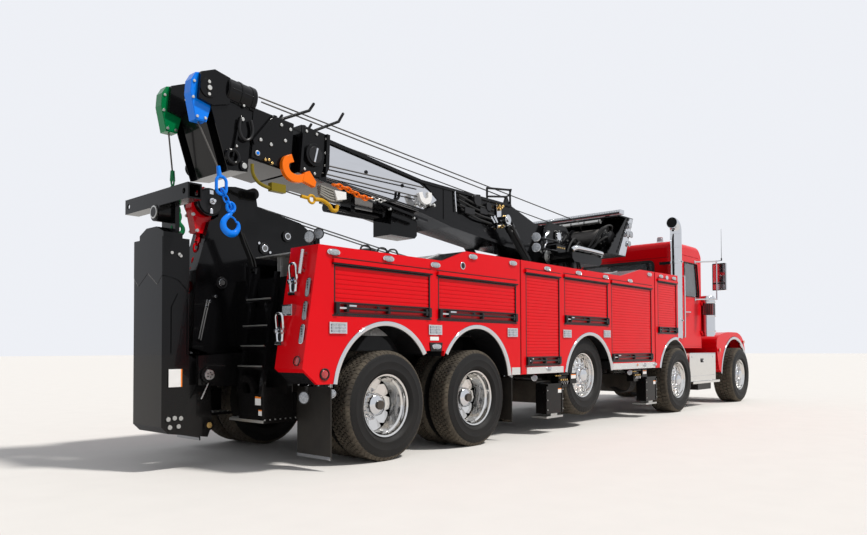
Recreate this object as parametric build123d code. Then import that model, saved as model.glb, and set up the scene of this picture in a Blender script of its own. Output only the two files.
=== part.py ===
# A heavy five-axle recovery truck with a rotating boom, at real size in millimetres.
# X points to the front of the truck, Y to its left side and Z up. The tyres stand on Z = 0.
# Places along X are written from the rearmost axle's drive wheels, and every piece is moved
# at the end, so that the origin lies on the ground under the middle of the whole truck.

import os
from math import atan, cos, degrees, hypot, pi, radians, sin

from build123d import *

# Overall lengths along the truck
frontAxleX = 9800
secondAxleX = 6760
liftAxleX = 3745
fourthAxleX = 1340
rearAxleX = -15
bumperFrontX = 10600
bumperRearX = 10500
underliftRearX = -1750
originX = (bumperFrontX + underliftRearX) / 2

# Body and deck
bodyHalf = 1295
sideDepth = 380
sideInnerY = bodyHalf - sideDepth
bodyFrontX = 6730
bodyBottomZ = 752
skin = 30
bodyTailTopX = -894
bodyTailLowX = -1066
bodyTailBottomX = -903
bodyTailLowZ = 887
shutterThick = 14
shutterInset = 8
slatPitch = 42
slatGroove = 5
shutterRailThick = 7
deckThick = 12

# Top line of the body: x and z of each bend, from the tail to the front
topLine = ((bodyTailTopX, 1950), (727, 1954), (1112, 2092), (4690, 2102), (5337, 2245), (bodyFrontX, 2260))

# Roller shutters: rear edge x, front edge x, bottom z, top z, and the top of the locker behind
shutters = (
    (-722, 534, 1366, 1792, 1915),
    (656, 2038, 1363, 1790, 1915),
    (2238, 2996, 861, 1950, 2060),
    (3115, 4283, 1384, 1964, 2060),
    (4387, 5703, 873, 1977, 2060),
    (5939, 6671, 1307, 2118, 2215),
)

# Lift rail at the foot of a shutter: height above its bottom edge, and how tall it is
shutterRailLow = 12
shutterRailHigh = 78
shutterRailInset = 30

# Wheel arches in the body: centre x, centre z, radius
arches = ((-80, 656, 660), (1300, 687, 628), (3770, 604, 670), (6620, 580, 660))

# Side marker lamps, left and right: long lamps under the deck edge and square ones lower down (x, z)
longLamps = ((-733, 1895), (-61, 1900), (607, 1900), (1222, 2042), (1968, 2040), (2704, 2038), (3464, 2045),
             (4206, 2049), (4957, 2046), (5626, 2194), (6280, 2194))
squareLamps = ((-680, 1239), (604, 1246), (1952, 1240), (3167, 1245), (4234, 1258))
lampThick = 12
longLampHalf = 52
longLampR = 30
squareLampHalfX = 100
squareLampHalfZ = 50

# Lamps in the rear face of the body: height of each upright lamp's middle
rearLampZ = (1180, 1378, 1578)
rearLampY = bodyHalf - 55
rearLampHalf = 85
rearRoundY = bodyHalf - 71
rearRoundZ = 953
rearRoundR = 43

# The skin between the two drive arches ends at this height: rear x, front x, z
archGap = (480, 745, 1035)

# Chassis
railOuterY = 430
railWidth = 90
railBottomZ = 770
railTopZ = 1040
railWall = 10
railRearX = -870
railFrontX = 10490
subTopZ = 1200
subWidth = 80

# Tyres and rims
steerTyreR = 530
steerTyreW = 385
driveTyreR = 520
driveTyreW = 285
beadR = 290
flangeR = 298.5
rimWellR = 262
seatGap = 0.3
steerFaceY = 1305
liftFaceY = 1230
driveFaceY = 1262
dualPitch = 335
liftWheelZ = 695
bowlRear = 260
bowlFront = 330
spindleR = 45
pinClear = 0.3
hubR = 95
flangeSide = 45
flangeThick = 12
discThick = 18
handHoles = 10
handHolePlace = 210
handHoleR = 32

# Steering knuckles
kingpinY = 905
kingpinR = 30
knuckleGap = 5
eyeHalfZ = 40
lugThick = 80
lugR = 55

# Cab
cabRearX = 7150
cabFrontX = 8760
cabHalf = 1040
cabFloorZ = 1060
cabRoofZ = 2930
cabWall = 40
roofR = 80
cabCornerR = 120
doorRearX = 7560
doorFrontX = 8430
doorBottomZ = 1090
doorTopZ = 2720
doorGap = 7
doorHingeR = 14
doorHingeOut = 16
doorPinR = 8
doorHingeZ = (1300, 1850)
hingeHigh = 35
screenHalf = 820
screenPost = 25
cowlBendX = 8570
rearWindowHalf = 680
cowlHalf = 890
windowBottomZ = 1990
windowTopZ = 2600
glassThick = 6
beltX = 8740
beltZ = 2080
screenTopX = 8420
screenTopZ = 2780

# Hood and front
hoodRearX = 8780
hoodFrontX = 10400
hoodRearHalf = 660
hoodFrontHalf = 470
hoodRearTopZ = 2020
hoodFrontTopZ = 1880
hoodRearLowZ = 1250
hoodFrontLowZ = 1050
hoodWall = 10
hoodCornerR = 170
fenderOuterY = 1180
fenderInnerY = 560
fenderTopZ = 1370
fenderRearX = 8800
fenderFrontX = 10440
fenderArchR = 760
bandR = 690
lampY = 760
lampZ = 1120
lampHalfY = 150
lampHalfZ = 80
hingeX = 10460
hingeZ = 900
hingePinR = 20
towEyeX = bumperFrontX - 42
towEyeY = 385
towEyeZ = 640
towEyeR = 25
towEyeHalf = 20

# Turret and boom
turretX = 4300
ringR = 700
ringZ = 1600
ringGap = 0.3
wellRim = 25
wellR = sideInnerY - wellRim
cheekInnerY = 310
cheekThick = 50
pivotX = 4500
pivotZ = 2750
pivotR = 60
boomHalf = 270
boomPitch = 5.3
tipX = -100
tipZ = 3040
stage2HalfZ = 165
stage2HalfY = 225
stage3HalfZ = 145
stage3HalfY = 203
tubeWall = 12
slideGap = 5
padGap = 0.3
hornY = 270
hornR = 15
baseHorns = (((-99, 3270), (-99, 3321), (222, 3491), (284, 3590)),
             ((2852, 3060), (2852, 3224), (3389, 3287), (3389, 3060)))
stageHorns = (((-611, 3270), (-600, 3295), (-175, 3509), (-118, 3592)),)
cylinderY = 430
eyeHalfY = 40
cylinderR = 62
cylinderRodR = 38
footPinR = 35
cylinderFootX = 3950
cylinderFootZ = 1900
cylinderHeadX = 3060
cylinderHeadZ = 2800
bayHalf = 850
lightBarLenses = 8
bayWall = 20

# Tail mast and underlift
mastHalf = 120
mastBaseHalf = 365
mastPinX = -1216
mastPinZ = 2424
mastPinR = 30
blockHalf = 52
headBlockY = 260
headPinR = 30
blockGap = 10
armHalf = 255
armFrontX = -1500
foldPinX = -1360
foldPinZ = 830
foldPinR = 45
armTopZ = 2030
armBottomZ = 390
extHalf = 215
extRearX = underliftRearX + 30
extFrontX = -1540
crossHalf = 565
crossPinZ = 2276
crossPinR = 45
crossBottomZ = 2325
crossTopZ = 2460
crossRearX = -1690
forkPinY = 500
strapHoleX = -962
strapHoleZ = 1778
strapHoleR = 22
forkPinR = 25
crossFrontX = -1560

# Outriggers: name and the x of each pair's middle
outriggerPairs = (("rear", 2870), ("front", 5670))
boxWidth = 330
boxTopZ = 650
boxBottomZ = 380
boxWall = 20
boxEndY = 1130
beamGap = 5
legOuterY = 1290
legWidth = 390
legHalf = 74
legTopZ = 620
legBottomZ = 250
footThick = 25
footZ = 195


def block(x0, x1, y0, y1, z0, z1):
    return Pos((x0 + x1) / 2, (y0 + y1) / 2, (z0 + z1) / 2) * Box(abs(x1 - x0), abs(y1 - y0), abs(z1 - z0))


def polygonFace(points):
    return Face(Wire.make_polygon([Vector(*p) for p in points], close=True))


def sidePrism(points, y0, y1):
    # Points are x and z
    face = polygonFace([(x, y0, z) for x, z in points])
    return Solid.extrude(face, Vector(0, y1 - y0, 0))


def planPrism(points, z0, z1):
    # Points are x and y
    face = polygonFace([(x, y, z0) for x, y in points])
    return Solid.extrude(face, Vector(0, 0, z1 - z0))


def endPrism(points, x0, x1):
    # Points are y and z
    face = polygonFace([(x0, y, z) for y, z in points])
    return Solid.extrude(face, Vector(x1 - x0, 0, 0))


def rodX(y, z, radius, x0, x1):
    return Solid.make_cylinder(radius, x1 - x0, Plane((x0, y, z), z_dir=(1, 0, 0)))


def rodY(x, z, radius, y0, y1):
    return Solid.make_cylinder(radius, y1 - y0, Plane((x, y0, z), z_dir=(0, 1, 0)))


def rodZ(x, y, radius, z0, z1):
    return Solid.make_cylinder(radius, z1 - z0, Plane((x, y, z0), z_dir=(0, 0, 1)))


def rodBetween(a, b, radius):
    start = Vector(*a)
    run = Vector(*b) - start
    return Solid.make_cylinder(radius, run.length, Plane(start, z_dir=run))


def join(shapes):
    total = shapes[0]
    for shape in shapes[1:]:
        total = total + shape
    return total


def mirrored(shape):
    return shape.mirror(Plane.XZ)


def bothSides(shape):
    return [shape, mirrored(shape)]


def softened(points, reach, steps):
    # Rounds each corner of a closed line, from a point on either side of it at most a reach away
    out = []
    count = len(points)
    for number in range(count):
        before = points[number - 1]
        corner = points[number]
        after = points[(number + 1) % count]
        ends = []
        for other in (before, after):
            length = hypot(other[0] - corner[0], other[1] - corner[1])
            part = min(reach / length, 0.45)
            ends.append((corner[0] + (other[0] - corner[0]) * part,
                         corner[1] + (other[1] - corner[1]) * part))
        for step in range(steps + 1):
            t = step / steps
            weights = ((1 - t) ** 2, 2 * t * (1 - t), t ** 2)
            three = (ends[0], corner, ends[1])
            out.append(tuple(sum(w * p[axis] for w, p in zip(weights, three)) for axis in (0, 1)))
    return out


def arcLine(middle, radius, start, end, steps):
    # Points on an arc, with angles in degrees
    angles = [radians(start + (end - start) * step / steps) for step in range(steps + 1)]
    return [(middle[0] + radius * cos(a), middle[1] + radius * sin(a)) for a in angles]


def turned(points, middle, angle):
    # Turns x and z points about a middle, rising towards the tail as the angle grows
    a = radians(angle)
    out = []
    for x, z in points:
        dx = x * cos(a) + z * sin(a)
        dz = -x * sin(a) + z * cos(a)
        out.append((middle[0] + dx, middle[1] + dz))
    return out


def tyre(outerR, width):
    # Profile columns: radius and place across the tyre
    half = width / 2
    bead = half - flangeSide
    right = [(beadR, bead), (beadR + 12, bead), (beadR + 40, half - 8), (outerR - 95, half),
             (outerR - 28, half - 14), (outerR, half - 42)]
    left = [(r, -o) for r, o in reversed(right)]
    face = polygonFace([(r, o, 0) for r, o in right + left])
    return revolve(face, Axis.Y, 360)


def rim(width, discPlace, hubInner, hubOuter):
    # A dished wheel disc in a drop-centre rim, with its hub, about the Y axis
    half = width / 2
    edge = half - flangeSide + seatGap + flangeThick
    outer = beadR - seatGap
    barrel = [(rimWellR, -edge), (flangeR, -edge), (flangeR, -edge + flangeThick),
              (outer, -edge + flangeThick),
              (outer, edge - flangeThick), (flangeR, edge - flangeThick), (flangeR, edge), (rimWellR, edge)]
    ring = revolve(polygonFace([(r, o, 0) for r, o in barrel]), Axis.Y, 360)
    bore = spindleR + pinClear
    disc = [(bore, discPlace), (rimWellR + 5, discPlace), (rimWellR + 5, discPlace + discThick),
            (bore, discPlace + discThick)]
    plate = revolve(polygonFace([(r, o, 0) for r, o in disc]), Axis.Y, 360)
    for number in range(handHoles):
        angle = 2 * pi * (number + 0.5) / handHoles
        plate = plate - rodY(handHolePlace * cos(angle), handHolePlace * sin(angle), handHoleR, discPlace - 5,
                             discPlace + discThick + 5)
    hub = [(bore, hubInner), (hubR, hubInner), (hubR, hubOuter), (0, hubOuter), (0, hubOuter - 15),
           (bore, hubOuter - 15)]
    core = revolve(polygonFace([(r, o, 0) for r, o in hub]), Axis.Y, 360)
    return join([ring, plate, core])


def singleWheel(x, z, faceY, side):
    middle = faceY - steerTyreW / 2
    wheelRim = rim(steerTyreW, 95, -70, 165)
    pieces = [wheelRim, tyre(steerTyreR, steerTyreW)]
    moved = [Pos(x, middle, z) * piece for piece in pieces]
    return moved if side > 0 else [mirrored(piece) for piece in moved]


def dualWheel(x, side):
    outerY = driveFaceY - driveTyreW / 2
    innerY = outerY - dualPitch
    split = dualPitch / 2
    outerRim = rim(driveTyreW, -split, -split, 60)
    innerRim = mirrored(rim(driveTyreW, -split, -split, -20))
    hubs = Pos(0, split, 0) * outerRim + Pos(0, -split, 0) * innerRim
    bridge = revolve(polygonFace([(rimWellR - 40, -split, 0), (rimWellR, -split, 0), (rimWellR, split, 0),
                                  (rimWellR - 40, split, 0)]), Axis.Y, 360)
    hubs = hubs + bridge - rodY(0, 0, spindleR + pinClear, -dualPitch, split + 40)
    tread = tyre(driveTyreR, driveTyreW)
    pieces = [hubs, Pos(0, split, 0) * tread, Pos(0, -split, 0) * tread]
    middle = (outerY + innerY) / 2
    moved = [Pos(x, middle, driveTyreR) * piece for piece in pieces]
    return moved if side > 0 else [mirrored(piece) for piece in moved]


def knuckle(x, side):
    z = steerTyreR
    low = z - eyeHalfZ - knuckleGap
    high = z + eyeHalfZ + knuckleGap
    pin = rodZ(x, kingpinY, kingpinR, low - lugThick, high + lugThick)
    lugs = [rodZ(x, kingpinY, lugR, high, high + lugThick), rodZ(x, kingpinY, lugR, low - lugThick, low)]
    back = block(x - lugR, x + lugR, kingpinY + 20 + lugR, kingpinY + 60 + lugR, low - lugThick,
                 high + lugThick)
    webs = [block(x - lugR, x + lugR, kingpinY, kingpinY + 40 + lugR, high, high + lugThick),
            block(x - lugR, x + lugR, kingpinY, kingpinY + 40 + lugR, low - lugThick, low)]
    spindle = rodY(x, z, spindleR, kingpinY + 40 + lugR, steerFaceY - 50)
    arm = block(x - 220, x, kingpinY - 20, kingpinY + 20, low - lugThick, low - lugThick + 40)
    piece = join([pin, back, spindle, arm] + lugs + webs)
    return piece if side > 0 else mirrored(piece)


def steerBeam(x):
    z = steerTyreR
    eye = rodZ(x, kingpinY, lugR + 5, z - eyeHalfZ, z + eyeHalfZ)
    eye = eye - rodZ(x, kingpinY, kingpinR + pinClear, z - 60, z + 60)
    arm = block(x - 45, x + 45, 0, kingpinY - kingpinR - 10, z - eyeHalfZ, z + eyeHalfZ)
    spring = block(x - 620, x + 560, 300, 370, z + eyeHalfZ, z + eyeHalfZ + 60)
    seats = [block(x + end, x + end + 90, 300, 370, z + eyeHalfZ, railBottomZ) for end in (-620, 470)]
    half = join([eye, arm, spring] + seats)
    return half + mirrored(half)


def driveAxle(x):
    z = driveTyreR
    tube = rodY(x, z, 78, 0, 560)
    spindle = rodY(x, z, spindleR, 500, driveFaceY - 110)
    bowl = rodY(x, z, 210, -90, 90) + rodX(0, z, 110, x - bowlRear, x + bowlFront)
    arm = block(x - 480, x + 330, 330, 420, z + 60, z + 110)
    hanger = block(x - 480, x - 400, 330, 420, z + 60, railBottomZ)
    bag = rodZ(x + 240, 375, 88, z + 110, railBottomZ)
    half = join([tube, spindle, arm, hanger, bag])
    return join([half, mirrored(half), bowl])


def liftAxle(x):
    z = liftWheelZ
    tube = rodY(x, z, 65, 0, 800)
    spindle = rodY(x, z, spindleR, 780, liftFaceY - 50)
    arm = block(x - 620, x + 60, 340, 420, z - 40, z + 40)
    hanger = block(x - 620, x - 540, 340, 420, z - 40, railBottomZ)
    half = join([tube, spindle, arm, hanger])
    return half + mirrored(half)


def channel(y0, x0, x1, z0, z1, wall, side):
    # A C-shaped rail, open to the inside of the truck
    outer = block(x0, x1, y0 - railWidth, y0, z0, z1)
    hollow = block(x0, x1, y0 - railWidth, y0 - wall, z0 + wall, z1 - wall)
    rail = outer - hollow
    return rail if side > 0 else mirrored(rail)


def chassisFrame():
    half = [channel(railOuterY, railRearX, railFrontX, railBottomZ, railTopZ, railWall, 1)]
    sub = block(railRearX, bodyFrontX, railOuterY - subWidth, railOuterY, railTopZ, subTopZ)
    half.append(sub)
    for x in (railRearX + 200, 700, 2200, 3400, 4900, 6000, 7400):
        half.append(block(x, x + 80, 0, railOuterY - railWall, railTopZ - 90, railTopZ - 20))
    half.append(block(10290, 10350, 0, railOuterY - railWall, railBottomZ, railBottomZ + 40))
    half.append(rodY(hingeX, hingeZ, hingePinR, 295, railOuterY - railWall))
    for x in (-700, 2130, 3000, 4520, 5250):
        half.append(block(x, x + 100, railOuterY, sideInnerY, railTopZ - 60, subTopZ))
    pedestal = rodZ(turretX, 0, ringR - 40, subTopZ, ringZ) - rodZ(turretX, 0, ringR - 90, subTopZ, ringZ)
    ring = rodZ(turretX, 0, ringR, ringZ - 60, ringZ) - rodZ(turretX, 0, ringR - 120, ringZ - 60, ringZ)
    bearers = [block(turretX + x, turretX + x + 90, -railOuterY, railOuterY, railTopZ, subTopZ)
               for x in (-660, -45, 570)]
    frame = join(half)
    frame = join([frame, mirrored(frame), pedestal, ring] + bearers)
    for name, x in outriggerPairs:
        outer = block(x - boxWidth / 2, x + boxWidth / 2, -boxEndY, boxEndY, boxBottomZ, boxTopZ)
        bore = block(x - boxWidth / 2 + boxWall, x + boxWidth / 2 - boxWall, -boxEndY, boxEndY,
                     boxBottomZ + boxWall, boxTopZ - boxWall)
        web = block(x - boxWidth / 2, x + boxWidth / 2, -15, 15, boxBottomZ, boxTopZ)
        frame = frame + (outer - bore) + web
        for y in (railOuterY - railWidth, -railOuterY):
            frame = frame + block(x - boxWidth / 2, x + boxWidth / 2, y, y + railWidth, boxTopZ, railBottomZ)
    return frame


def engineAndShafts():
    engine = block(8850, 9980, -330, 330, 800, 1750)
    radiator = block(10150, 10270, -330, 330, 950, 1780)
    mounts = block(9980, 10150, -60, 60, 1000, 1100)
    gearbox = block(7800, 8850, -230, 230, 700, 1000)
    bearing = (3300, 0, 815)
    joints = ((7800, 0, 850), (5600, 0, 850), bearing, (fourthAxleX + 330, 0, driveTyreR + 40))
    shafts = [rodBetween(a, b, 55) for a, b in zip(joints, joints[1:])]
    balls = [Pos(*p) * Sphere(80) for p in joints[1:3]]
    link = rodX(0, driveTyreR, 50, rearAxleX + bowlFront, fourthAxleX - bowlRear)
    line = join([engine, radiator, mounts, gearbox] + shafts + balls)
    nose = fourthAxleX + bowlFront
    return [line - block(nose - 100, nose, -200, 200, driveTyreR - 200, driveTyreR + 300), link]


def bodySide():
    outline = list(topLine) + [(bodyFrontX, bodyBottomZ), (bodyTailBottomX, bodyBottomZ),
                               (bodyTailLowX, bodyTailLowZ)]
    side = sidePrism(outline, sideInnerY, bodyHalf)
    for rear, front, low, high, lockerTop in shutters:
        side = side - block(rear - 20, front + 20, sideInnerY + skin, bodyHalf - skin, low, lockerTop)
        side = side - block(rear, front, bodyHalf - skin, bodyHalf, low, high)
    side = side - block(archGap[0], archGap[1], sideInnerY, bodyHalf, 0, archGap[2])
    for x, z, radius in arches:
        side = side - rodY(x, z, radius, sideInnerY, bodyHalf)
        side = side - block(x - radius, x + radius, sideInnerY, bodyHalf, 0, z)
    return side


def slatSection(low, high):
    # A slatted panel cut across: one groove above each slat, y and z
    face = bodyHalf - shutterInset
    points = [(face - shutterThick, low), (face, low)]
    count = int((high - low) // slatPitch)
    pitch = (high - low) / count
    for number in range(1, count):
        z = low + number * pitch
        points += [(face, z - slatGroove), (face - slatGroove, z), (face, z + slatGroove)]
    return points + [(face, high), (face - shutterThick, high)]


def shutterDoors():
    panels = []
    face = bodyHalf - shutterInset
    for rear, front, low, high, lockerTop in shutters:
        panel = endPrism(slatSection(low, high), rear, front)
        rail = block(rear + shutterRailInset, front - shutterRailInset, face - slatGroove - 1,
                     face + shutterRailThick, low + shutterRailLow, low + shutterRailHigh)
        panels.append(panel + rail)
    return panels


def longLamp(x, z, y0, y1):
    # A lamp with two round ends, lying along the truck
    middle = block(x - longLampHalf + longLampR, x + longLampHalf - longLampR, y0, y1, z - longLampR,
                   z + longLampR)
    ends = [rodY(x + side * (longLampHalf - longLampR), z, longLampR, y0, y1) for side in (-1, 1)]
    return join([middle] + ends)


def markerLamps():
    y0 = bodyHalf
    y1 = bodyHalf + lampThick
    lamps = [longLamp(x, z, y0, y1) for x, z in longLamps]
    for x, z in squareLamps:
        lamps.append(block(x - squareLampHalfX, x + squareLampHalfX, y0, y1, z - squareLampHalfZ,
                           z + squareLampHalfZ))
    straight = rearLampHalf - longLampR
    upright = join([block(-lampThick, 0, -longLampR, longLampR, -straight, straight)]
                   + [rodX(0, z, longLampR, -lampThick, 0) for z in (-straight, straight)])
    lamps += [onRearFace(upright, rearLampY, z) for z in rearLampZ]
    lamps.append(onRearFace(rodX(0, 0, rearRoundR, -lampThick, 0), rearRoundY, rearRoundZ))
    return lamps + [mirrored(lamp) for lamp in lamps]


def onRearFace(shape, y, z):
    # Moves a shape that backs on X = 0 onto the leaning rear face of the body
    slope = (bodyTailTopX - bodyTailLowX) / (topLine[0][1] - bodyTailLowZ)
    x = bodyTailLowX + (z - bodyTailLowZ) * slope
    return Pos(x, y, z) * Rot(0, degrees(atan(slope)), 0) * shape


def deckPlates():
    # The top line carried across the truck, held on webs that stand on the frame
    half = sideInnerY
    under = [(x, z - deckThick) for x, z in topLine]
    outline = list(topLine) + list(reversed(under))
    plate = sidePrism(outline, -half, half)
    plate = plate - rodZ(turretX, 0, wellR, ringZ, 2400)
    plate = plate - block(-2000, 140, -mastHalf - 40, mastHalf + 40, 1500, 2400)
    plate = plate - block(-2000, -740, -half, half, 1500, 2400)
    webs = []
    for x0, x1 in ((200, 3300), (5300, bodyFrontX)):
        line = [p for p in topLine if x0 < p[0] < x1]
        top = [(x0, heightAt(x0))] + line + [(x1, heightAt(x1))]
        web = [(x, z - deckThick) for x, z in top] + [(x1, subTopZ), (x0, subTopZ)]
        for y in (railOuterY - 60, -railOuterY):
            webs.append(sidePrism(web, y, y + 60))
    tail = [(-640, heightAt(-640) - deckThick), (100, heightAt(100) - deckThick), (100, subTopZ),
            (-640, subTopZ)]
    for y in (railOuterY - 60, -railOuterY):
        webs.append(sidePrism(tail, y, y + 60))
    bulkhead = block(bodyFrontX - 40, bodyFrontX, -half, half, subTopZ, 2250)
    return join([plate, bulkhead] + webs)


def heightAt(x):
    for (x0, z0), (x1, z1) in zip(topLine, topLine[1:]):
        if x0 <= x <= x1:
            return z0 + (z1 - z0) * (x - x0) / (x1 - x0)
    return topLine[-1][1]


def tailBoard():
    plate = block(-930, -880, 290, sideInnerY, 660, 1700)
    inner = block(-930, -740, 290, railOuterY - railWidth, 700, 1650)
    rails = []
    for y in (430, 760):
        rails.append(sidePrism([(-1128, 640), (-1088, 640), (-918, 1750), (-958, 1750)], y, y + 40))
    rungs = []
    for z in (880, 1060, 1240, 1480):
        x = -1108 + (z - 640) * 170 / 1110
        rungs.append(block(x - 40, x + 60, 430, 800, z, z + 25))
    stays = [block(-1100, -900, 430, 470, 660, 720), block(-1100, -900, 760, 800, 660, 720),
             block(-975, -890, 430, 470, 1600, 1680), block(-975, -890, 760, 800, 1600, 1680)]
    stepBox = block(-1107, -740, 440, 800, 430, 665)
    step = block(-1107, -700, 290, 810, 405, 430)
    post = block(-1000, -880, 380, 430, 1450, 1820) - rodY(strapHoleX, strapHoleZ, strapHoleR, 370, 440)
    half = join([plate, inner, stepBox, step, post] + rails + rungs + stays)
    bridge = block(-930, -880, mastHalf, 300, 1080, 1700)
    hanger = sidePrism([(foldPinX - 90, foldPinZ - 90), (-740, 700), (-740, 1040), (foldPinX - 90, 1000)],
                       290, 335)
    hanger = hanger - rodY(foldPinX, foldPinZ, foldPinR + pinClear, 280, 345)
    half = join([half, hanger, bridge])
    return [half, mirrored(half)]


def tailMast():
    outline = [(-1221, 2239), (-1351, 1781), (-1386, 1069), (-1180, 1010), (-905, 1010), (-905, 1210),
               (100, 1210), (73, 2218), (-167, 2362), (-696, 2456), (-720, 2600), (-944, 2612), (-1067, 2594),
               (-1130, 2300)]
    mast = sidePrism(outline, -mastHalf, mastHalf)
    mast = mast + rodY(mastPinX, mastPinZ, 130, -mastHalf, mastHalf)
    slot = blockHalf + blockGap
    mast = mast - block(-1420, -1060, -slot, slot, 2080, 2640)
    base = block(-735, 100, -mastBaseHalf, mastBaseHalf, subTopZ, subTopZ + 40)
    return join([mast, base, rodY(mastPinX, mastPinZ, mastPinR, -mastHalf, mastHalf)])


def sheaveBlock(x, z, y, pinR):
    # A side-plated rope block that hangs from its pin, mouth down
    outline = [(-140, 60), (-100, 130), (-20, 150), (60, 80), (65, -100), (10, -290), (-100, -290),
               (-150, -60)]
    plate = sidePrism([(x + dx, z + dz) for dx, dz in outline], y - blockHalf, y + blockHalf)
    plate = plate - rodY(x, z, pinR + pinClear, y - 100, y + 100)
    return plate


def underliftArm():
    tube = block(underliftRearX, armFrontX, -armHalf, armHalf, armBottomZ, armTopZ)
    bore = block(extRearX - padGap, extFrontX + padGap, -extHalf - padGap, extHalf + padGap,
                 armBottomZ + 300, armTopZ)
    toe = sidePrism([(underliftRearX, armBottomZ), (underliftRearX + 60, 330), (-1310, 270), (-1265, 380),
                     (-1290, foldPinZ), (foldPinX, 930), (armFrontX - 5, 1010), (armFrontX - 5, 600),
                     (underliftRearX + 25, 600)], -armHalf, armHalf)
    heel = toe - block(-1495, -1200, -armHalf + 40, armHalf - 40, 200, 1100)
    pin = rodY(foldPinX, foldPinZ, foldPinR, -345, 345)
    return join([tube - bore, heel, pin])


def underliftExtension():
    tube = block(extRearX, extFrontX, -extHalf, extHalf, armBottomZ + 320, armTopZ + 50)
    cap = endPrism([(-extHalf, armTopZ + 50), (extHalf, armTopZ + 50), (90, armTopZ + 105),
                    (-90, armTopZ + 105)],
                   extRearX, extFrontX)
    cheek = block(crossFrontX + padGap, crossFrontX + 42, -120, 120, armTopZ + 40, crossPinZ + 95)
    cheek = cheek - rodX(0, crossPinZ, crossPinR + pinClear, crossFrontX, crossFrontX + 60)
    return join([tube, cap, cheek])


def crossbar():
    beam = block(crossRearX, crossFrontX, -crossHalf, crossHalf, crossBottomZ, crossTopZ)
    bore = block(crossRearX + 14, crossFrontX - 14, -crossHalf, crossHalf, crossBottomZ + 14, crossTopZ - 14)
    lug = rodX(0, crossPinZ, 80, crossRearX, crossFrontX)
    neck = block(crossRearX, crossFrontX, -80, 80, crossPinZ, crossBottomZ + 20)
    pin = rodX(0, crossPinZ, crossPinR, crossRearX - 15, crossFrontX + 62)
    beam = beam - bore
    for y in (-forkPinY, forkPinY):
        beam = beam - rodX(y, (crossBottomZ + crossTopZ) / 2, forkPinR, crossRearX - 1, crossFrontX + 1)
    return join([beam, lug, neck, pin])


def boomPart(x0, x1, z0, z1, half):
    # A box in the boom's own lengthwise direction, from the tip point
    outline = turned([(x0, z0), (x1, z0), (x1, z1), (x0, z1)], (tipX, tipZ), boomPitch)
    return sidePrism(outline, -half, half)


def hornRods(lines):
    # Bent rope guides beside the boom, one of each on either side
    rods = []
    for line in lines:
        for y in (hornY, -hornY):
            for (x0, z0), (x1, z1) in zip(line, line[1:]):
                rods.append(rodBetween((x0, y, z0), (x1, y, z1), hornR))
                rods.append(Pos(x1, y, z1) * Sphere(hornR))
    return rods


def boomBase():
    outline = [(0, 3270), (1510, 3093), (3386, 3074), (3990, 2900), (pivotX + 110, 2840),
               (pivotX + 110, 2650),
               (3900, 2460), (3131, 2482), (2052, 2593), (1510, 2690), (0, 2795)]
    base = sidePrism(outline, -boomHalf, boomHalf)
    collar = boomPart(-245, 120, -240, 255, boomHalf + 60)
    channelCut = boomPart(-400, 3700, -stage2HalfZ - padGap, stage2HalfZ + slideGap, stage2HalfY + slideGap)
    eyes = []
    for side in (1, -1):
        y0 = side * boomHalf
        y1 = side * (cylinderY - eyeHalfY - slideGap)
        eyes.append(rodY(cylinderHeadX, cylinderHeadZ, 55, min(y0, y1), max(y0, y1)))
    base = base + collar - channelCut - rodY(pivotX, pivotZ, pivotR + pinClear, -400, 400)
    # A control box and a small tank hang under the boom
    gear = sidePrism([(1135, 2400), (1545, 2400), (1585, 2440), (1585, 2600), (1500, 2720), (1180, 2750),
                      (1135, 2600)], -150, 150)
    gear = gear - channelCut
    for x in (560, 1060):
        gear = gear + (block(x, x + 60, -90, 90, 2600, 2790) - channelCut)
    tank = rodX(0, 2610, 50, 260, 1140)
    return join([base] + eyes + [gear, tank] + hornRods(baseHorns))


def boomStage2():
    tube = boomPart(-360, 3450, -stage2HalfZ, stage2HalfZ, stage2HalfY)
    collar = boomPart(-810, -340, -270, 230, boomHalf + 60)
    bore = boomPart(-900, 3500, -stage3HalfZ - padGap, stage3HalfZ + slideGap, stage3HalfY + slideGap)
    return join([tube + collar - bore] + hornRods(stageHorns))


def boomStage3():
    tube = boomPart(-830, 3200, -stage3HalfZ, stage3HalfZ, stage3HalfY)
    hollow = boomPart(-800, 3300, -stage3HalfZ + tubeWall, stage3HalfZ - tubeWall, stage3HalfY - tubeWall)
    head = sidePrism(turned([(-1269, 130), (-1024, -440), (-820, -400), (-820, 240), (-1100, 240)],
                            (tipX, tipZ), boomPitch), -330, 330)
    for side in (1, -1):
        head = head - Pos(0, side * headBlockY, 0) * boomPart(-1500, -1000, -500, 300, blockHalf + blockGap)
    pieces = [tube - hollow, head]
    for side in (1, -1):
        y = side * headBlockY
        start = turned([(-820, 300)], (tipX, tipZ), boomPitch)[0]
        end = turned([(-1120, 300)], (tipX, tipZ), boomPitch)[0]
        pieces.append(rodBetween((start[0], y, start[1]), (end[0], y, end[1]), 130))
        cheek = sidePrism(turned([(-1390, 110), (-1390, 350), (-1260, 420), (-1100, 400), (-1080, 160),
                                  (-1250, 90)],
                                 (tipX, tipZ), boomPitch), y - 100, y + 100)
        slot = boomPart(-1500, -1110, 60, 500, blockHalf + blockGap)
        cheek = cheek - Pos(0, y, 0) * slot
        px, pz = headPin()
        pieces.append(cheek + rodY(px, pz, headPinR, y - 100, y + 100))
    return join(pieces)


def headPin():
    return turned([(-1306, 225)], (tipX, tipZ), boomPitch)[0]


def boomBlocks():
    px, pz = headPin()
    blocks = [sheaveBlock(px, pz, side * headBlockY, headPinR) for side in (1, -1)]
    return blocks


def cylinderLine():
    run = Vector(cylinderHeadX - cylinderFootX, 0, cylinderHeadZ - cylinderFootZ)
    return run.normalized(), run.length


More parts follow.
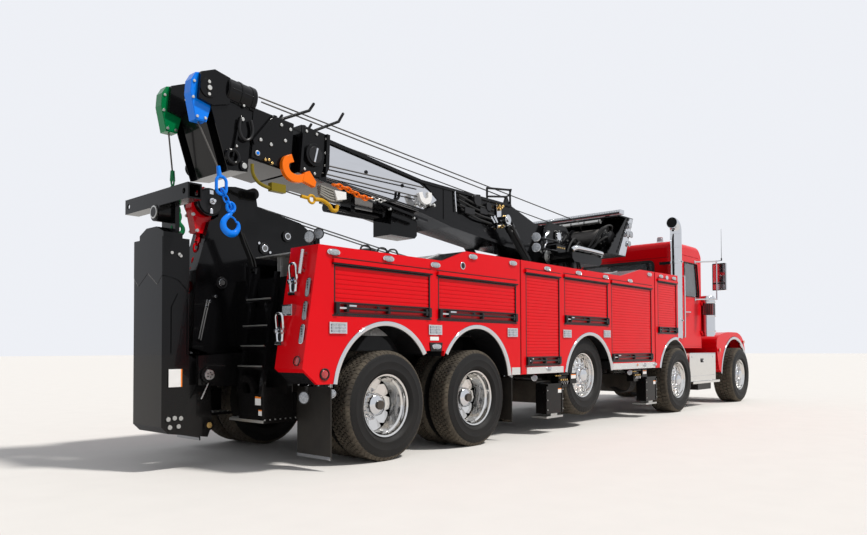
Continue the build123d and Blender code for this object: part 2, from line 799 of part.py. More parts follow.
def liftBarrels():
    run, length = cylinderLine()
    pieces = []
    for side in (1, -1):
        foot = Vector(cylinderFootX, side * cylinderY, cylinderFootZ)
        tube = Solid.make_cylinder(cylinderR, length - 150, Plane(foot + run * 60, z_dir=run))
        bore = Solid.make_cylinder(cylinderRodR + pinClear, length, Plane(foot + run * 100, z_dir=run))
        eye = rodY(cylinderFootX, cylinderFootZ, 68, foot.Y - eyeHalfY, foot.Y + eyeHalfY)
        pinHole = rodY(cylinderFootX, cylinderFootZ, footPinR + pinClear, foot.Y - 100, foot.Y + 100)
        pieces.append(tube + eye - bore - pinHole)
    return pieces


def liftRods():
    run, length = cylinderLine()
    pieces = []
    for side in (1, -1):
        foot = Vector(cylinderFootX, side * cylinderY, cylinderFootZ)
        rod = Solid.make_cylinder(cylinderRodR, length - 180, Plane(foot + run * 120, z_dir=run))
        eye = rodY(cylinderHeadX, cylinderHeadZ, 66, foot.Y - eyeHalfY, foot.Y + eyeHalfY)
        cap = rodY(cylinderHeadX, cylinderHeadZ, footPinR, foot.Y - eyeHalfY, foot.Y + eyeHalfY + 15)
        if side < 0:
            cap = rodY(cylinderHeadX, cylinderHeadZ, footPinR, foot.Y - eyeHalfY - 15, foot.Y + eyeHalfY)
        pieces.append(join([rod, eye, cap]))
    return pieces


def turretFrame():
    plate = rodZ(turretX, 0, ringR, ringZ + ringGap, ringZ + 85) - rodZ(turretX, 0, 200, ringZ, ringZ + 90)
    outline = [(3720, ringZ + 80), (3720, 2150), (4000, 2560), (4260, 2930), (4740, 2930), (5150, 2560),
               (5720, 2560), (5720, 2480), (5200, 2440), (4950, 2250), (4900, ringZ + 80)]
    cheek = sidePrism(outline, cheekInnerY, cheekInnerY + cheekThick)
    foot = rodY(cylinderFootX, cylinderFootZ, footPinR, cheekInnerY + cheekThick, cylinderY + 60)
    wall = sidePrism([(5150, 2530), (5725, 2530), (6009, 3160), (5790, 3160)], bayHalf - bayWall, bayHalf)
    half = join([cheek, foot])
    floor = block(5150, 5725, -bayHalf, bayHalf, 2520, 2560)
    roof = block(5560, 6018, -bayHalf, bayHalf, 3150, 3170)
    front = sidePrism([(5712, 2520), (5740, 2520), (6033, 3170), (6005, 3170)], -bayHalf, bayHalf)
    tie = block(4400, 4950, -cheekInnerY, cheekInnerY, ringZ + 80, 2150)
    pin = rodY(pivotX, pivotZ, pivotR, -cheekInnerY - cheekThick, cheekInnerY + cheekThick)
    return join([plate, half, mirrored(half), wall, mirrored(wall), floor, roof, front, tie, pin])


def winches():
    pieces = []
    for y0, y1 in ((60, 640), (-640, -60)):
        drum = rodY(5480, 2800, 120, y0, y1) + rodY(5480, 2800, 158, y0 + 30, y1 - 30)
        flanges = [rodY(5480, 2800, 200, y, y + 25) for y in (y0, y1 - 25)]
        feet = [block(5380, 5600, y, y + 25, 2560.3, 2800) for y in (y0, y1 - 25)]
        pieces.append(join([drum] + flanges + feet))
    return pieces


def lightBar():
    bar = block(5560, 5700, -860, 860, 3185, 3215)
    feet = [block(5600, 5660, y - 30, y + 30, 3170.3, 3185) for y in (-600, 600)]
    pitch = 2 * 860 / lightBarLenses
    lenses = []
    for number in range(lightBarLenses):
        y = -860 + number * pitch
        outline = [(5563, 3215), (5697, 3215), (5697, 3240), (5677, 3260), (5583, 3260), (5563, 3240)]
        lenses.append(sidePrism(outline, y + 4, y + pitch - 4))
    return join([bar] + feet + lenses)


def cabProfile(inset):
    # Side outline of the cab, pulled in by a wall thickness
    low = cabFloorZ + inset
    middle = (cabRearX + cabCornerR, cabRoofZ - cabCornerR)
    corner = arcLine(middle, cabCornerR - inset, 180, 90, 6)
    return [(cabRearX + 120 + inset * 0.4, low), (cabRearX + inset, low + 100 - inset * 0.6)] + corner + [
        (screenTopX - 160 - inset * 0.4, cabRoofZ - inset), (screenTopX - inset, screenTopZ),
        (beltX - inset, beltZ), (cabFrontX - inset, beltZ - 60), (cabFrontX - inset, low)]


def cabPlan(inset):
    # Outline of the cab from above: round corners behind, drawn in beside the cowl
    half = cabHalf - inset
    cowl = cowlHalf - inset
    corner = arcLine((cabRearX + cabCornerR, cabHalf - cabCornerR), cabCornerR - inset, 180, 90, 6)
    side = corner + [(doorFrontX + 10, half), (cowlBendX, cowl), (cabFrontX + 1, cowl)]
    return side + [(x, -y) for x, y in reversed(side)]


def cabSection(inset):
    # The cab cut across: both edges of the roof are round
    half = cabHalf - inset
    corner = arcLine((cabHalf - roofR, cabRoofZ - roofR), roofR - inset, 90, 0, 5)
    side = corner + [(half, cabFloorZ - 1)]
    return side + [(-y, z) for y, z in reversed(side)]


def cabSolid(inset):
    side = sidePrism(cabProfile(inset), -cabHalf, cabHalf)
    plan = planPrism(cabPlan(inset), cabFloorZ - 1, cabRoofZ + 1)
    return side & plan & endPrism(cabSection(inset), cabRearX - 1, cabFrontX + 1)


def roofGear():
    # Beacons, marker lamps' fairings, a sun visor and an aerial's foot
    gear = [rodZ(7420, y, 60, cabRoofZ - 5, cabRoofZ + 30) for y in (700, -700)]
    gear += [rodZ(7420, y, 48, cabRoofZ + 30, cabRoofZ + 110) for y in (700, -700)]
    gear += [rodX(y, cabRoofZ + 12, 22, 8060, 8200) for y in (-640, -320, 0, 320, 640)]
    return gear


def cabShell():
    shell = cabSolid(0) - cabSolid(cabWall)
    shell = shell - block(cabRearX - 10, cabRearX + cabWall + 10, -rearWindowHalf, rearWindowHalf,
                          windowBottomZ, windowTopZ - 20)
    screen = [(screenTopX - 90, screenTopZ - 60), (beltX - 90, beltZ + 60), (beltX + 90, beltZ + 60),
              (screenTopX + 90, screenTopZ - 60)]
    for y0, y1 in ((screenPost, screenHalf), (-screenHalf, -screenPost)):
        shell = shell - sidePrism(screen, y0, y1)
    doorHole = doorOutline(0)
    for y0, y1 in ((cabHalf - cabWall - 5, cabHalf + 5), (-cabHalf - 5, -cabHalf + cabWall + 5)):
        shell = shell - sidePrism(doorHole, y0, y1)
    legs = [block(x, x + 100, y, y + 90, railTopZ, cabFloorZ) for x in (7300, 8600) for y in (-430, 340)]
    hinges = [hinge for z in doorHingeZ for hinge in bothSides(cabHinge(z))]
    return join([shell] + legs + hinges + roofGear())


def cabHinge(z):
    # The lower leaf of a door hinge, with the pin that the door's leaf sits on
    x = doorFrontX
    y = cabHalf + doorHingeOut
    barrel = rodZ(x, y, doorHingeR, z, z + hingeHigh)
    leaf = block(x, x + 45, cabHalf, y, z, z + hingeHigh)
    return join([barrel, leaf, rodZ(x, y, doorPinR, z, z + 2 * hingeHigh)])


def doorHinge(z):
    x = doorFrontX
    y = cabHalf + doorHingeOut
    low = z + hingeHigh + padGap
    leaf = block(x - 50, x, cabHalf - 2, y, low, z + 2 * hingeHigh)
    barrel = rodZ(x, y, doorHingeR, low, z + 2 * hingeHigh) + leaf
    return barrel - rodZ(x, y, doorPinR + pinClear, z, z + 3 * hingeHigh)


def doorOutline(gap):
    slope = (doorFrontX - (screenTopX - 90)) / (doorTopZ - beltZ)
    topFront = doorFrontX - slope * (doorTopZ - beltZ)
    return [(doorRearX + gap, doorBottomZ + gap), (doorRearX + gap, doorTopZ - gap),
            (topFront - gap, doorTopZ - gap),
            (doorFrontX - gap, beltZ), (doorFrontX - gap, doorBottomZ + gap)]


def windowOutline(gap):
    return [(doorRearX + 80 + gap, windowBottomZ + gap), (doorRearX + 80 + gap, windowTopZ - gap),
            (screenTopX - 180 - gap, windowTopZ - gap), (doorFrontX - 100 - gap, beltZ + gap),
            (doorFrontX - 100 - gap, windowBottomZ + gap)]


def door(side):
    panel = sidePrism(doorOutline(doorGap), cabHalf - cabWall, cabHalf)
    panel = panel - sidePrism(windowOutline(0), cabHalf - cabWall - 5, cabHalf + 5)
    armHigh = rodBetween((8150, cabHalf - 5, 2640), (8330, 1370, 2640), 12)
    armLow = rodBetween((8150, cabHalf - 5, 1950), (8330, 1370, 1950), 12)
    post = rodZ(8330, 1370, 12, 1938, 2652)
    mirror = block(8335, 8400, 1290, 1530, 2110, 2600)
    piece = join([panel, armHigh, armLow, post, mirror] + [doorHinge(z) for z in doorHingeZ])
    return piece if side > 0 else mirrored(piece)


def doorGlass(side):
    pane = sidePrism(windowOutline(seatGap), cabHalf - cabWall / 2 - glassThick, cabHalf - cabWall / 2)
    return pane if side > 0 else mirrored(pane)


def cabGlass():
    rear = block(cabRearX + 15, cabRearX + 15 + glassThick, -rearWindowHalf + seatGap,
                 rearWindowHalf - seatGap, windowBottomZ + seatGap,
                 windowTopZ - 20 - seatGap)
    run = (beltX - screenTopX) / (screenTopZ - beltZ)
    low = beltZ + 60 + seatGap
    high = screenTopZ - 60 - seatGap
    inner = [(beltX - 25 - run * (z - beltZ), z) for z in (low, high)]
    outline = inner + [(inner[1][0] + glassThick, high), (inner[0][0] + glassThick, low)]
    panes = [sidePrism(outline, y0, y1) for y0, y1 in ((screenPost + seatGap, screenHalf - seatGap),
                                                         (-screenHalf + seatGap, -screenPost - seatGap))]
    return [rear] + panes


def cabInterior():
    floor = cabFloorZ + cabWall
    pieces = []
    for y in (480, -480):
        base = block(7450, 7950, y - 200, y + 200, floor + 0.3, floor + 300)
        cushion = block(7440, 7990, y - 260, y + 260, floor + 300, floor + 430)
        back = sidePrism([(7300, floor + 380), (7440, floor + 380), (7380, floor + 1150),
                          (7260, floor + 1150)],
                         y - 250, y + 250)
        pieces.append(join([base, cushion, back]))
    wallX = cabFrontX - cabWall - padGap
    dash = sidePrism([(8480, 1600), (8420, 1980), (8650, 2060), (beltX - cabWall - padGap, beltZ),
                      (wallX, beltZ - 60), (wallX, 1600)], -840, 840)
    column = rodBetween((8560, 480, 1850), (8250, 480, 1990), 25)
    section = [(194, -14), (226, -14), (226, 14), (194, 14)]
    ring = revolve(polygonFace([(r, 0, o) for r, o in section]), Axis.Z, 360)
    spokes = block(-200, 200, -15, 15, -12, 12) + block(-15, 15, -200, 200, -12, 12)
    wheel = Plane((8245, 480, 1992), z_dir=(-0.91, 0, 0.41)) * (ring + spokes)
    pieces.append(join([dash, column, wheel]))
    return pieces


def hoodSection(x, half, low, high, inset):
    # A rectangle with two round top corners, as a closed wire across the truck
    h = half - inset
    t = high - inset
    r = hoodCornerR - inset
    k = r * (1 - cos(radians(45)))
    lines = [
        Line((x, -h, low), (x, -h, t - r)),
        ThreePointArc((x, -h, t - r), (x, -h + k, t - k), (x, -h + r, t)),
        Line((x, -h + r, t), (x, h - r, t)),
        ThreePointArc((x, h - r, t), (x, h - k, t - k), (x, h, t - r)),
        Line((x, h, t - r), (x, h, low)),
        Line((x, h, low), (x, -h, low)),
    ]
    return Wire(lines)


def hood():
    outer = Solid.make_loft([hoodSection(hoodRearX, hoodRearHalf, hoodRearLowZ, hoodRearTopZ, 0),
                             hoodSection(hoodFrontX, hoodFrontHalf, hoodFrontLowZ, hoodFrontTopZ, 0)], True)
    inner = Solid.make_loft([hoodSection(hoodRearX - 1, hoodRearHalf, hoodRearLowZ - 1, hoodRearTopZ,
                                         hoodWall),
                             hoodSection(hoodFrontX + 1, hoodFrontHalf, hoodFrontLowZ - 1, hoodFrontTopZ,
                                         hoodWall)],
                            True)
    shape = outer - inner
    half = fender()
    arms = rodY(hingeX, hingeZ, 38, 300, 333)
    arms = arms + block(hingeX - 38, hingeX + 38, 300, 333, hingeZ, hoodFrontLowZ)
    arms = arms + block(10330, hingeX + 38, 300, 333, hoodFrontLowZ - 40, hoodFrontLowZ)
    arms = arms - rodY(hingeX, hingeZ, hingePinR + pinClear, 290, 350)
    stay = block(10330, hoodFrontX, 300, hoodFrontHalf, hoodFrontLowZ - 5, hoodFrontLowZ + 35)
    return join([shape, half, mirrored(half), arms, mirrored(arms), stay, mirrored(stay)])


def fenderOutline(inset):
    return [(8960 + inset, 560), (fenderRearX + inset, 1150), (8900 + inset * 0.6, 1300 - inset),
            (9350, fenderTopZ - inset), (10050, fenderTopZ - inset),
            (10340 - inset * 0.6, 1240 - inset * 0.6),
            (fenderFrontX - inset, 1000), (fenderFrontX - inset, 900)]


def fender():
    outer = sidePrism(softened(fenderOutline(0), 180, 4), fenderInnerY, fenderOuterY)
    inner = sidePrism(softened(fenderOutline(hoodWall + 2), 180, 4), fenderInnerY - 1,
                      fenderOuterY - hoodWall - 2)
    arch = rodY(frontAxleX, steerTyreR, fenderArchR, fenderInnerY - 10, fenderOuterY + 10)
    below = block(frontAxleX - fenderArchR, 11000, fenderInnerY - 10, fenderOuterY + 10, 0, steerTyreR)
    pocket = block(10250, fenderFrontX + 20, lampY - lampHalfY - seatGap, lampY + lampHalfY + seatGap,
                   lampZ - lampHalfZ - seatGap, lampZ + lampHalfZ + seatGap)
    return outer - inner - arch - below - pocket


def grille():
    z0 = hoodFrontLowZ + 5
    z1 = hoodFrontTopZ - 10
    half = hoodFrontHalf - 20
    x0 = hoodFrontX + 0.3
    frame = block(x0, x0 + 45, -half, half, z0, z1)
    frame = frame - block(x0 - 1, x0 + 50, -half + 40, half - 40, z0 + 40, z1 - 60)
    bars = [block(x0 + 5, x0 + 30, y - 8, y + 8, z0 + 30, z1 - 50) for y in range(-360, 361, 60)]
    return join([frame] + bars)


def headlamps():
    pods = []
    for y in (lampY, -lampY):
        pod = block(10330, fenderFrontX + 5, y - lampHalfY, y + lampHalfY, lampZ - lampHalfZ,
                    lampZ + lampHalfZ)
        pods.append(pod + rodX(y, lampZ, 70, fenderFrontX, fenderFrontX + 20))
    return pods


def frontBumper():
    # A folded shell on two horns, with a tow eye in each of its two windows
    x0 = bumperRearX
    x1 = bumperFrontX
    outer = [(x0, -1200), (x1, -1000), (x1, 1000), (x0, 1200)]
    inner = [(x0, -1175), (x1 - 14, -990), (x1 - 14, 990), (x0, 1175)]
    shell = planPrism(outer, 420, 830) - planPrism(inner, 440, 810)
    pieces = []
    for y in (towEyeY, -towEyeY):
        shell = shell - block(x0 - 1, x1 + 1, y - 60, y + 60, 400, towEyeZ + 80)
        pieces.append(block(railFrontX, x1 - 80, y - 40, y + 40, 560, hingeZ))
        pieces.append(block(railFrontX, x1 - 10, y - 38, y + 38, 740, 800))
        eye = block(railFrontX, x1 - 4, y - 50, y + 50, towEyeZ - towEyeHalf, towEyeZ + towEyeHalf)
        pieces.append(eye)
    whole = join([shell] + pieces)
    for y in (towEyeY, -towEyeY):
        whole = whole - rodZ(towEyeX, y, towEyeR, towEyeZ - towEyeHalf - 1, towEyeZ + towEyeHalf + 1)
    return whole


def stepBoxes():
    x0 = secondAxleX + bandR - 5
    box = block(x0, 8690, 620, 1200, 450, 970)
    band = rodY(secondAxleX, steerTyreR, bandR, 800, 1200)
    band = band - rodY(secondAxleX, steerTyreR, bandR - 16, 790, 1210)
    band = band - block(5000, bodyFrontX + 20, 780, 1220, -500, 2000)
    band = band - block(5000, 9000, 780, 1220, -500, 600)
    step = block(x0, 8740, 1190, 1260, 430, 470)
    bracket = block(7600, 7700, railOuterY, 640, 800, 900) + block(8450, 8550, railOuterY, 640, 800, 900)
    half = join([box, band, step, bracket])
    return bothSides(half)


def exhaustStacks():
    pipe = rodZ(7030, 1150, 95, 1230, 3090)
    elbow = rodBetween((7030, 1150, 3080), (6950, 1150, 3240), 95)
    arms = [block(7030, cabRearX - padGap, 850, 1150, z, z + 50) for z in (1500, 2500)]
    shield = rodZ(7030, 1150, 108, 1560, 2480)
    return bothSides(join([pipe, elbow, shield] + arms))


def airCleaners():
    can = rodZ(8600, 1100, 130, 1300, 2000)
    ends = [rodZ(8600, 1100, 112, 1275, 1300), rodZ(8600, 1100, 112, 2000, 2030)]
    bands = [rodZ(8600, 1100, 134, z, z + 28) for z in (1360, 1640, 1900)]
    foot = block(8590, 8640, cowlHalf + padGap, 1100, 1500, 1800)
    return bothSides(join([can] + ends + bands + [foot]))


def mudflaps():
    # Columns: x, width, bottom z, top z
    flaps = ((-750, 460, 95, bodyBottomZ), (1950, 290, 210, bodyBottomZ))
    outer = bodyHalf - 5
    pieces = []
    for x, width, z0, z1 in flaps:
        pieces = pieces + bothSides(block(x - 6, x + 6, outer - width, outer, z0, z1))
    return pieces


def outriggerBeam(x, side):
    gap = boxWall + beamGap
    low = boxBottomZ + boxWall + padGap
    beam = block(x - boxWidth / 2 + gap, x + boxWidth / 2 - gap, 60, boxEndY + 40, low, boxTopZ - gap)
    leg = block(x - legWidth / 2, x + legWidth / 2, boxEndY + 10, legOuterY, legBottomZ, legTopZ)
    bore = block(x - legHalf - padGap, x + legHalf + padGap, boxEndY + 30, legOuterY - 10, legBottomZ,
                 legTopZ - 10)
    piece = beam + leg - bore
    return piece if side > 0 else mirrored(piece)


def outriggerLeg(x, side):
    leg = block(x - legHalf, x + legHalf, boxEndY + 30 + padGap, legOuterY - 10 - padGap, footZ + footThick,
                legTopZ - 20)
    foot = block(x - 190, x + 190, boxEndY - 60, legOuterY + 3, footZ, footZ + footThick)
    piece = leg + foot
    return piece if side > 0 else mirrored(piece)


extraRootNodes = ("marker_lamps",)


def asParts(value):
    return list(value) if isinstance(value, (list, tuple)) else [value]


def write(name, value):
    solids = []
    for shape in asParts(value):
        solids.extend(shape.solids())
    moved = [Pos(-originX, 0, 0) * solid for solid in solids]
    shape = moved[0] if len(moved) == 1 else Compound(children=moved)
    export_step(shape, "parts/" + name + ".step")


def main():
    os.makedirs("parts", exist_ok=True)
    write("chassis_frame", chassisFrame())
    axles = [steerBeam(frontAxleX), steerBeam(secondAxleX), liftAxle(liftAxleX), driveAxle(fourthAxleX),
             driveAxle(rearAxleX)]
    write("axles", axles)
    write("engine_and_shafts", engineAndShafts())
    write("body_sides", bothSides(bodySide()))
    doors = shutterDoors()
    write("shutters", doors + [mirrored(piece) for piece in doors])
    write("deck", deckPlates())
    write("marker_lamps", markerLamps())
    write("tail_board", tailBoard())
    write("tail_mast", tailMast())
    write("tail_block", sheaveBlock(mastPinX, mastPinZ, 0, mastPinR))
    write("underlift_arm", underliftArm())
    write("underlift_extension", underliftExtension())
    write("crossbar", crossbar())
    write("turret_frame", turretFrame())
    write("winches", winches())
    write("light_bar", lightBar())
    write("boom_base", boomBase())
    write("boom_stage_2", boomStage2())
    write("boom_stage_3", boomStage3())
    write("boom_blocks", boomBlocks())
    write("lift_barrels", liftBarrels())
    write("lift_rods", liftRods())
    write("cab_shell", cabShell())
    write("cab_glass", cabGlass())
    write("cab_interior", cabInterior())
    write("hood", hood())
    write("grille", grille())
    write("headlamps", headlamps())
    write("front_bumper", frontBumper())
    write("step_boxes", stepBoxes())
    write("exhaust_stacks", exhaustStacks())
    write("air_cleaners", airCleaners())
    write("mudflaps", mudflaps())
    for sideName, side in (("left", 1), ("right", -1)):
        write("door_" + sideName, door(side))
        write("door_glass_" + sideName, doorGlass(side))
        write("knuckle_1_" + sideName, knuckle(frontAxleX, side))
        write("knuckle_2_" + sideName, knuckle(secondAxleX, side))
        write("wheel_1_" + sideName, singleWheel(frontAxleX, steerTyreR, steerFaceY, side))
        write("wheel_2_" + sideName, singleWheel(secondAxleX, steerTyreR, steerFaceY, side))
        write("wheel_3_" + sideName, singleWheel(liftAxleX, liftWheelZ, liftFaceY, side))
        write("wheel_4_" + sideName, dualWheel(fourthAxleX, side))
        write("wheel_5_" + sideName, dualWheel(rearAxleX, side))
        for pair, x in outriggerPairs:
            write("outrigger_beam_" + pair + "_" + sideName, outriggerBeam(x, side))
            write("outrigger_leg_" + pair + "_" + sideName, outriggerLeg(x, side))


if __name__ == "__main__":
    main()
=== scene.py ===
from math import cos, hypot, pi, radians, sin

import bmesh
import bpy
from mathutils import Matrix, Vector


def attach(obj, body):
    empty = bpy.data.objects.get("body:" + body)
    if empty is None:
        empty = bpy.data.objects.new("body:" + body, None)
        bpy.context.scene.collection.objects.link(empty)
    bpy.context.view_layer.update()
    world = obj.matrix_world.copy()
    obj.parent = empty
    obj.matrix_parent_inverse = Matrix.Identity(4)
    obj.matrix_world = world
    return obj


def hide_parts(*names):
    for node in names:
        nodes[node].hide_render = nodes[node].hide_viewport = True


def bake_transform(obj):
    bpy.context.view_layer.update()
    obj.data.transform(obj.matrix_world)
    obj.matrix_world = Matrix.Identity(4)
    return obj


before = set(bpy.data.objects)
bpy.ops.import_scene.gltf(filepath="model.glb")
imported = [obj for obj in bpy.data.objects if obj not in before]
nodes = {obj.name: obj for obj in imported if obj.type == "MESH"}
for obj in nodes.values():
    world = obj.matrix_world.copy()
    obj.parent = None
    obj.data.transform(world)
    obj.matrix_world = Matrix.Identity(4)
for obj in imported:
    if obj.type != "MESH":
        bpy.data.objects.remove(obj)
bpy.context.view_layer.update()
originX = 4.425  # places along X are written from the rearmost axle, as in the part's source
print("frame loaded", len(nodes), "nodes")


# Node helpers that shader groups, materials and Geometry Nodes trees share
def feed(tree, node, values):
    # Fills inputs: a socket is linked to its input, anything else becomes the input's value
    for label, value in values.items():
        if isinstance(value, bpy.types.NodeSocket):
            tree.links.new(value, node.inputs[label])
        else:
            node.inputs[label].default_value = value
    return node


def newNode(tree, kind, values=None, **settings):
    node = tree.nodes.new(kind)
    for key, value in settings.items():
        setattr(node, key, value)
    return feed(tree, node, values or {})


def startTree(name, kind, inputs, outputs):
    # Inputs are label, kind and default; outputs are label and kind
    tree = bpy.data.node_groups.new(name, kind)
    for label, socketKind, value in inputs:
        socket = tree.interface.new_socket(name=label, in_out="INPUT",
                                           socket_type="NodeSocket" + socketKind)
        if value is not None:
            socket.default_value = value
    for label, socketKind in outputs:
        tree.interface.new_socket(name=label, in_out="OUTPUT", socket_type="NodeSocket" + socketKind)
    return tree, tree.nodes.new("NodeGroupInput").outputs, tree.nodes.new("NodeGroupOutput")


def mathNode(tree, operation, *values, clamp=False):
    node = newNode(tree, "ShaderNodeMath", dict(enumerate(values)), operation=operation, use_clamp=clamp)
    return node.outputs[0]


def noiseNode(tree, vector, scale, detail=3.0, roughness=0.5):
    values = {"Vector": vector, "Scale": scale, "Detail": detail, "Roughness": roughness}
    return newNode(tree, "ShaderNodeTexNoise", values).outputs["Fac"]


def bumpNode(tree, height, strength, distance):
    values = {"Height": height, "Strength": strength, "Distance": distance}
    return newNode(tree, "ShaderNodeBump", values).outputs["Normal"]


def splitVector(tree, vector):
    return newNode(tree, "ShaderNodeSeparateXYZ", {0: vector}).outputs


def mixColours(tree, factor, first, second):
    first, second = ((*part, 1.0) if isinstance(part, tuple) else part for part in (first, second))
    return newNode(tree, "ShaderNodeMix", {0: factor, 6: first, 7: second}, data_type="RGBA").outputs[2]


# Shader groups that several finishes share
def startGroup(name, inputs, outputs):
    inputs = [(label, "Float" if isinstance(value, float) else "Vector", value) for label, value in inputs]
    return startTree(name, "ShaderNodeTree", inputs, outputs)


def makeRippleGroup():
    # The soft orange peel of sprayed paint, as a normal
    inputs = (("Vector", (0, 0, 0)), ("Scale", 60.0), ("Strength", 0.1))
    tree, given, out = startGroup("sprayRipple", inputs, (("Normal", "Vector"),))
    fac = noiseNode(tree, given["Vector"], given["Scale"], 2.0)
    feed(tree, out, {"Normal": bumpNode(tree, fac, given["Strength"], 0.002)})
    return tree


def makeDustGroup():
    # Road dust: thick near the ground, broken up by noise
    inputs = (("Vector", (0, 0, 0)), ("Top", 1.0), ("Amount", 0.5), ("Scale", 6.0))
    tree, given, out = startGroup("roadDust", inputs, (("Mask", "Float"),))
    rise = mathNode(tree, "DIVIDE", splitVector(tree, given["Vector"])["Z"], given["Top"])
    low = mathNode(tree, "SUBTRACT", 1.0, rise, clamp=True)
    coarse = noiseNode(tree, given["Vector"], given["Scale"], 5.0, 0.62)
    fine = noiseNode(tree, given["Vector"], 140.0, 2.0)
    both = mathNode(tree, "MULTIPLY", coarse, mathNode(tree, "ADD", 0.55, fine))
    spread = mathNode(tree, "MULTIPLY", mathNode(tree, "MULTIPLY", both, 1.9), low)
    feed(tree, out, {"Mask": mathNode(tree, "MULTIPLY", spread, given["Amount"], clamp=True)})
    return tree


def makeGrainGroup():
    # Fine lines left by rolling, brushing or polishing; Stretch squeezes them across the grain
    inputs = (("Vector", (0, 0, 0)), ("Stretch", (1, 1, 1)), ("Scale", 60.0), ("Low", 0.1), ("High", 0.3))
    tree, given, out = startGroup("metalGrain", inputs, (("Roughness", "Float"), ("Value", "Float")))
    scaled = newNode(tree, "ShaderNodeVectorMath", operation="MULTIPLY")
    feed(tree, scaled, {0: given["Vector"], 1: given["Stretch"]})
    fac = noiseNode(tree, scaled.outputs[0], given["Scale"], 4.0)
    span = mathNode(tree, "SUBTRACT", given["High"], given["Low"])
    feed(tree, out, {"Roughness": mathNode(tree, "MULTIPLY_ADD", fac, span, given["Low"]), "Value": fac})
    return tree


def makeCheckerGroup():
    # Raised bars of tread plate in two directions, on a plane's U and V
    inputs = (("U", 0.0), ("V", 0.0), ("Pitch", 0.03))
    tree, given, out = startGroup("treadBars", inputs, (("Height", "Float"),))
    u, v = (mathNode(tree, "DIVIDE", given[label], given["Pitch"]) for label in ("U", "V"))
    a = mathNode(tree, "ADD", u, v)
    b = mathNode(tree, "SUBTRACT", u, v)
    heights = []
    for along, across in ((a, b), (b, a)):
        odd = mathNode(tree, "FLOORED_MODULO", mathNode(tree, "FLOOR", across), 2.0)
        shift = mathNode(tree, "MULTIPLY", odd, 0.5)
        lengthPart = mathNode(tree, "PINGPONG", mathNode(tree, "ADD", along, shift), 0.5)
        longMask = mathNode(tree, "GREATER_THAN", lengthPart, 0.2)
        side = mathNode(tree, "SUBTRACT", 0.5, mathNode(tree, "PINGPONG", across, 0.5))
        ridge = mathNode(tree, "SUBTRACT", 1.0, mathNode(tree, "MULTIPLY", side, 7.0), clamp=True)
        heights.append(mathNode(tree, "MULTIPLY", ridge, longMask))
    cells = mathNode(tree, "ADD", mathNode(tree, "FLOOR", a), mathNode(tree, "FLOOR", b))
    turn = mathNode(tree, "FLOORED_MODULO", cells, 2.0)
    shares = (turn, mathNode(tree, "SUBTRACT", 1.0, turn))
    parts = [mathNode(tree, "MULTIPLY", height, share) for height, share in zip(heights, shares)]
    feed(tree, out, {"Height": mathNode(tree, "ADD", *parts)})
    return tree


groups = {"ripple": makeRippleGroup(), "dust": makeDustGroup(), "grain": makeGrainGroup(),
          "bars": makeCheckerGroup()}


def placeGroup(tree, key, **values):
    return feed(tree, newNode(tree, "ShaderNodeGroup", node_tree=groups[key]), values).outputs


def startMaterial(name):
    material = bpy.data.materials.new(name)
    material.use_nodes = True
    tree = material.node_tree
    coords = tree.nodes.new("ShaderNodeTexCoord").outputs["Object"]
    return material, tree, tree.nodes["Principled BSDF"], coords


# Sprayed paints: colour, darker shade, roughness, clear coat, ripple, dust amount and the dust's top
paints = {
    "redPaint": ((0.66, 0.0015, 0.006), (0.58, 0.001, 0.005), 0.24, 0.07, 0.05, 0.02, 1.1),
    "darkRedPaint": ((0.3, 0.001, 0.004), (0.24, 0.001, 0.003), 0.35, 0.2, 0.05, 0.06, 1.2),
    "blackPaint": ((0.0045, 0.0045, 0.005), (0.003, 0.003, 0.0035), 0.16, 0.16, 0.08, 0.015, 1.1),
    "chassisPaint": ((0.016, 0.016, 0.017), (0.011, 0.011, 0.012), 0.45, 0.3, 0.15, 0.3, 1.0),
    "bluePaint": ((0.001, 0.2, 0.84), (0.001, 0.17, 0.74), 0.22, 0.25, 0.06, 0.0, 1.0),
    "greenPaint": ((0.001, 0.19, 0.055), (0.001, 0.15, 0.045), 0.22, 0.2, 0.06, 0.0, 1.0),
    "blockRedPaint": ((0.66, 0.002, 0.008), (0.56, 0.002, 0.006), 0.22, 0.25, 0.06, 0.0, 1.0),
    "orangePaint": ((0.88, 0.17, 0.001), (0.76, 0.13, 0.001), 0.4, 0.2, 0.12, 0.0, 1.0),
    "yellowPaint": ((0.62, 0.34, 0.01), (0.5, 0.26, 0.008), 0.4, 0.2, 0.12, 0.0, 1.0),
    "olivePaint": ((0.2, 0.155, 0.006), (0.14, 0.105, 0.004), 0.45, 0.2, 0.12, 0.0, 1.0),
}


def makePaint(name):
    colour, shade, roughness, coat, ripple, dust, dustTop = paints[name]
    material, tree, shader, coords = startMaterial(name)
    base = mixColours(tree, noiseNode(tree, coords, 2.2, 4.0), colour, shade)
    mask = placeGroup(tree, "dust", Vector=coords, Top=dustTop, Amount=dust)["Mask"]
    grain = placeGroup(tree, "grain", Vector=coords, Scale=9.0, Low=roughness * 0.75, High=roughness * 1.25)
    feed(tree, shader, {
        "Base Color": mixColours(tree, mask, base, (0.3, 0.24, 0.18)),
        "Roughness": mathNode(tree, "MULTIPLY_ADD", mask, 0.5, grain["Roughness"], clamp=True),
        "Normal": placeGroup(tree, "ripple", Vector=coords, Scale=130.0, Strength=ripple)["Normal"],
        "Coat Weight": coat, "Coat Roughness": 0.03, "Specular IOR Level": 0.11,
    })
    return material


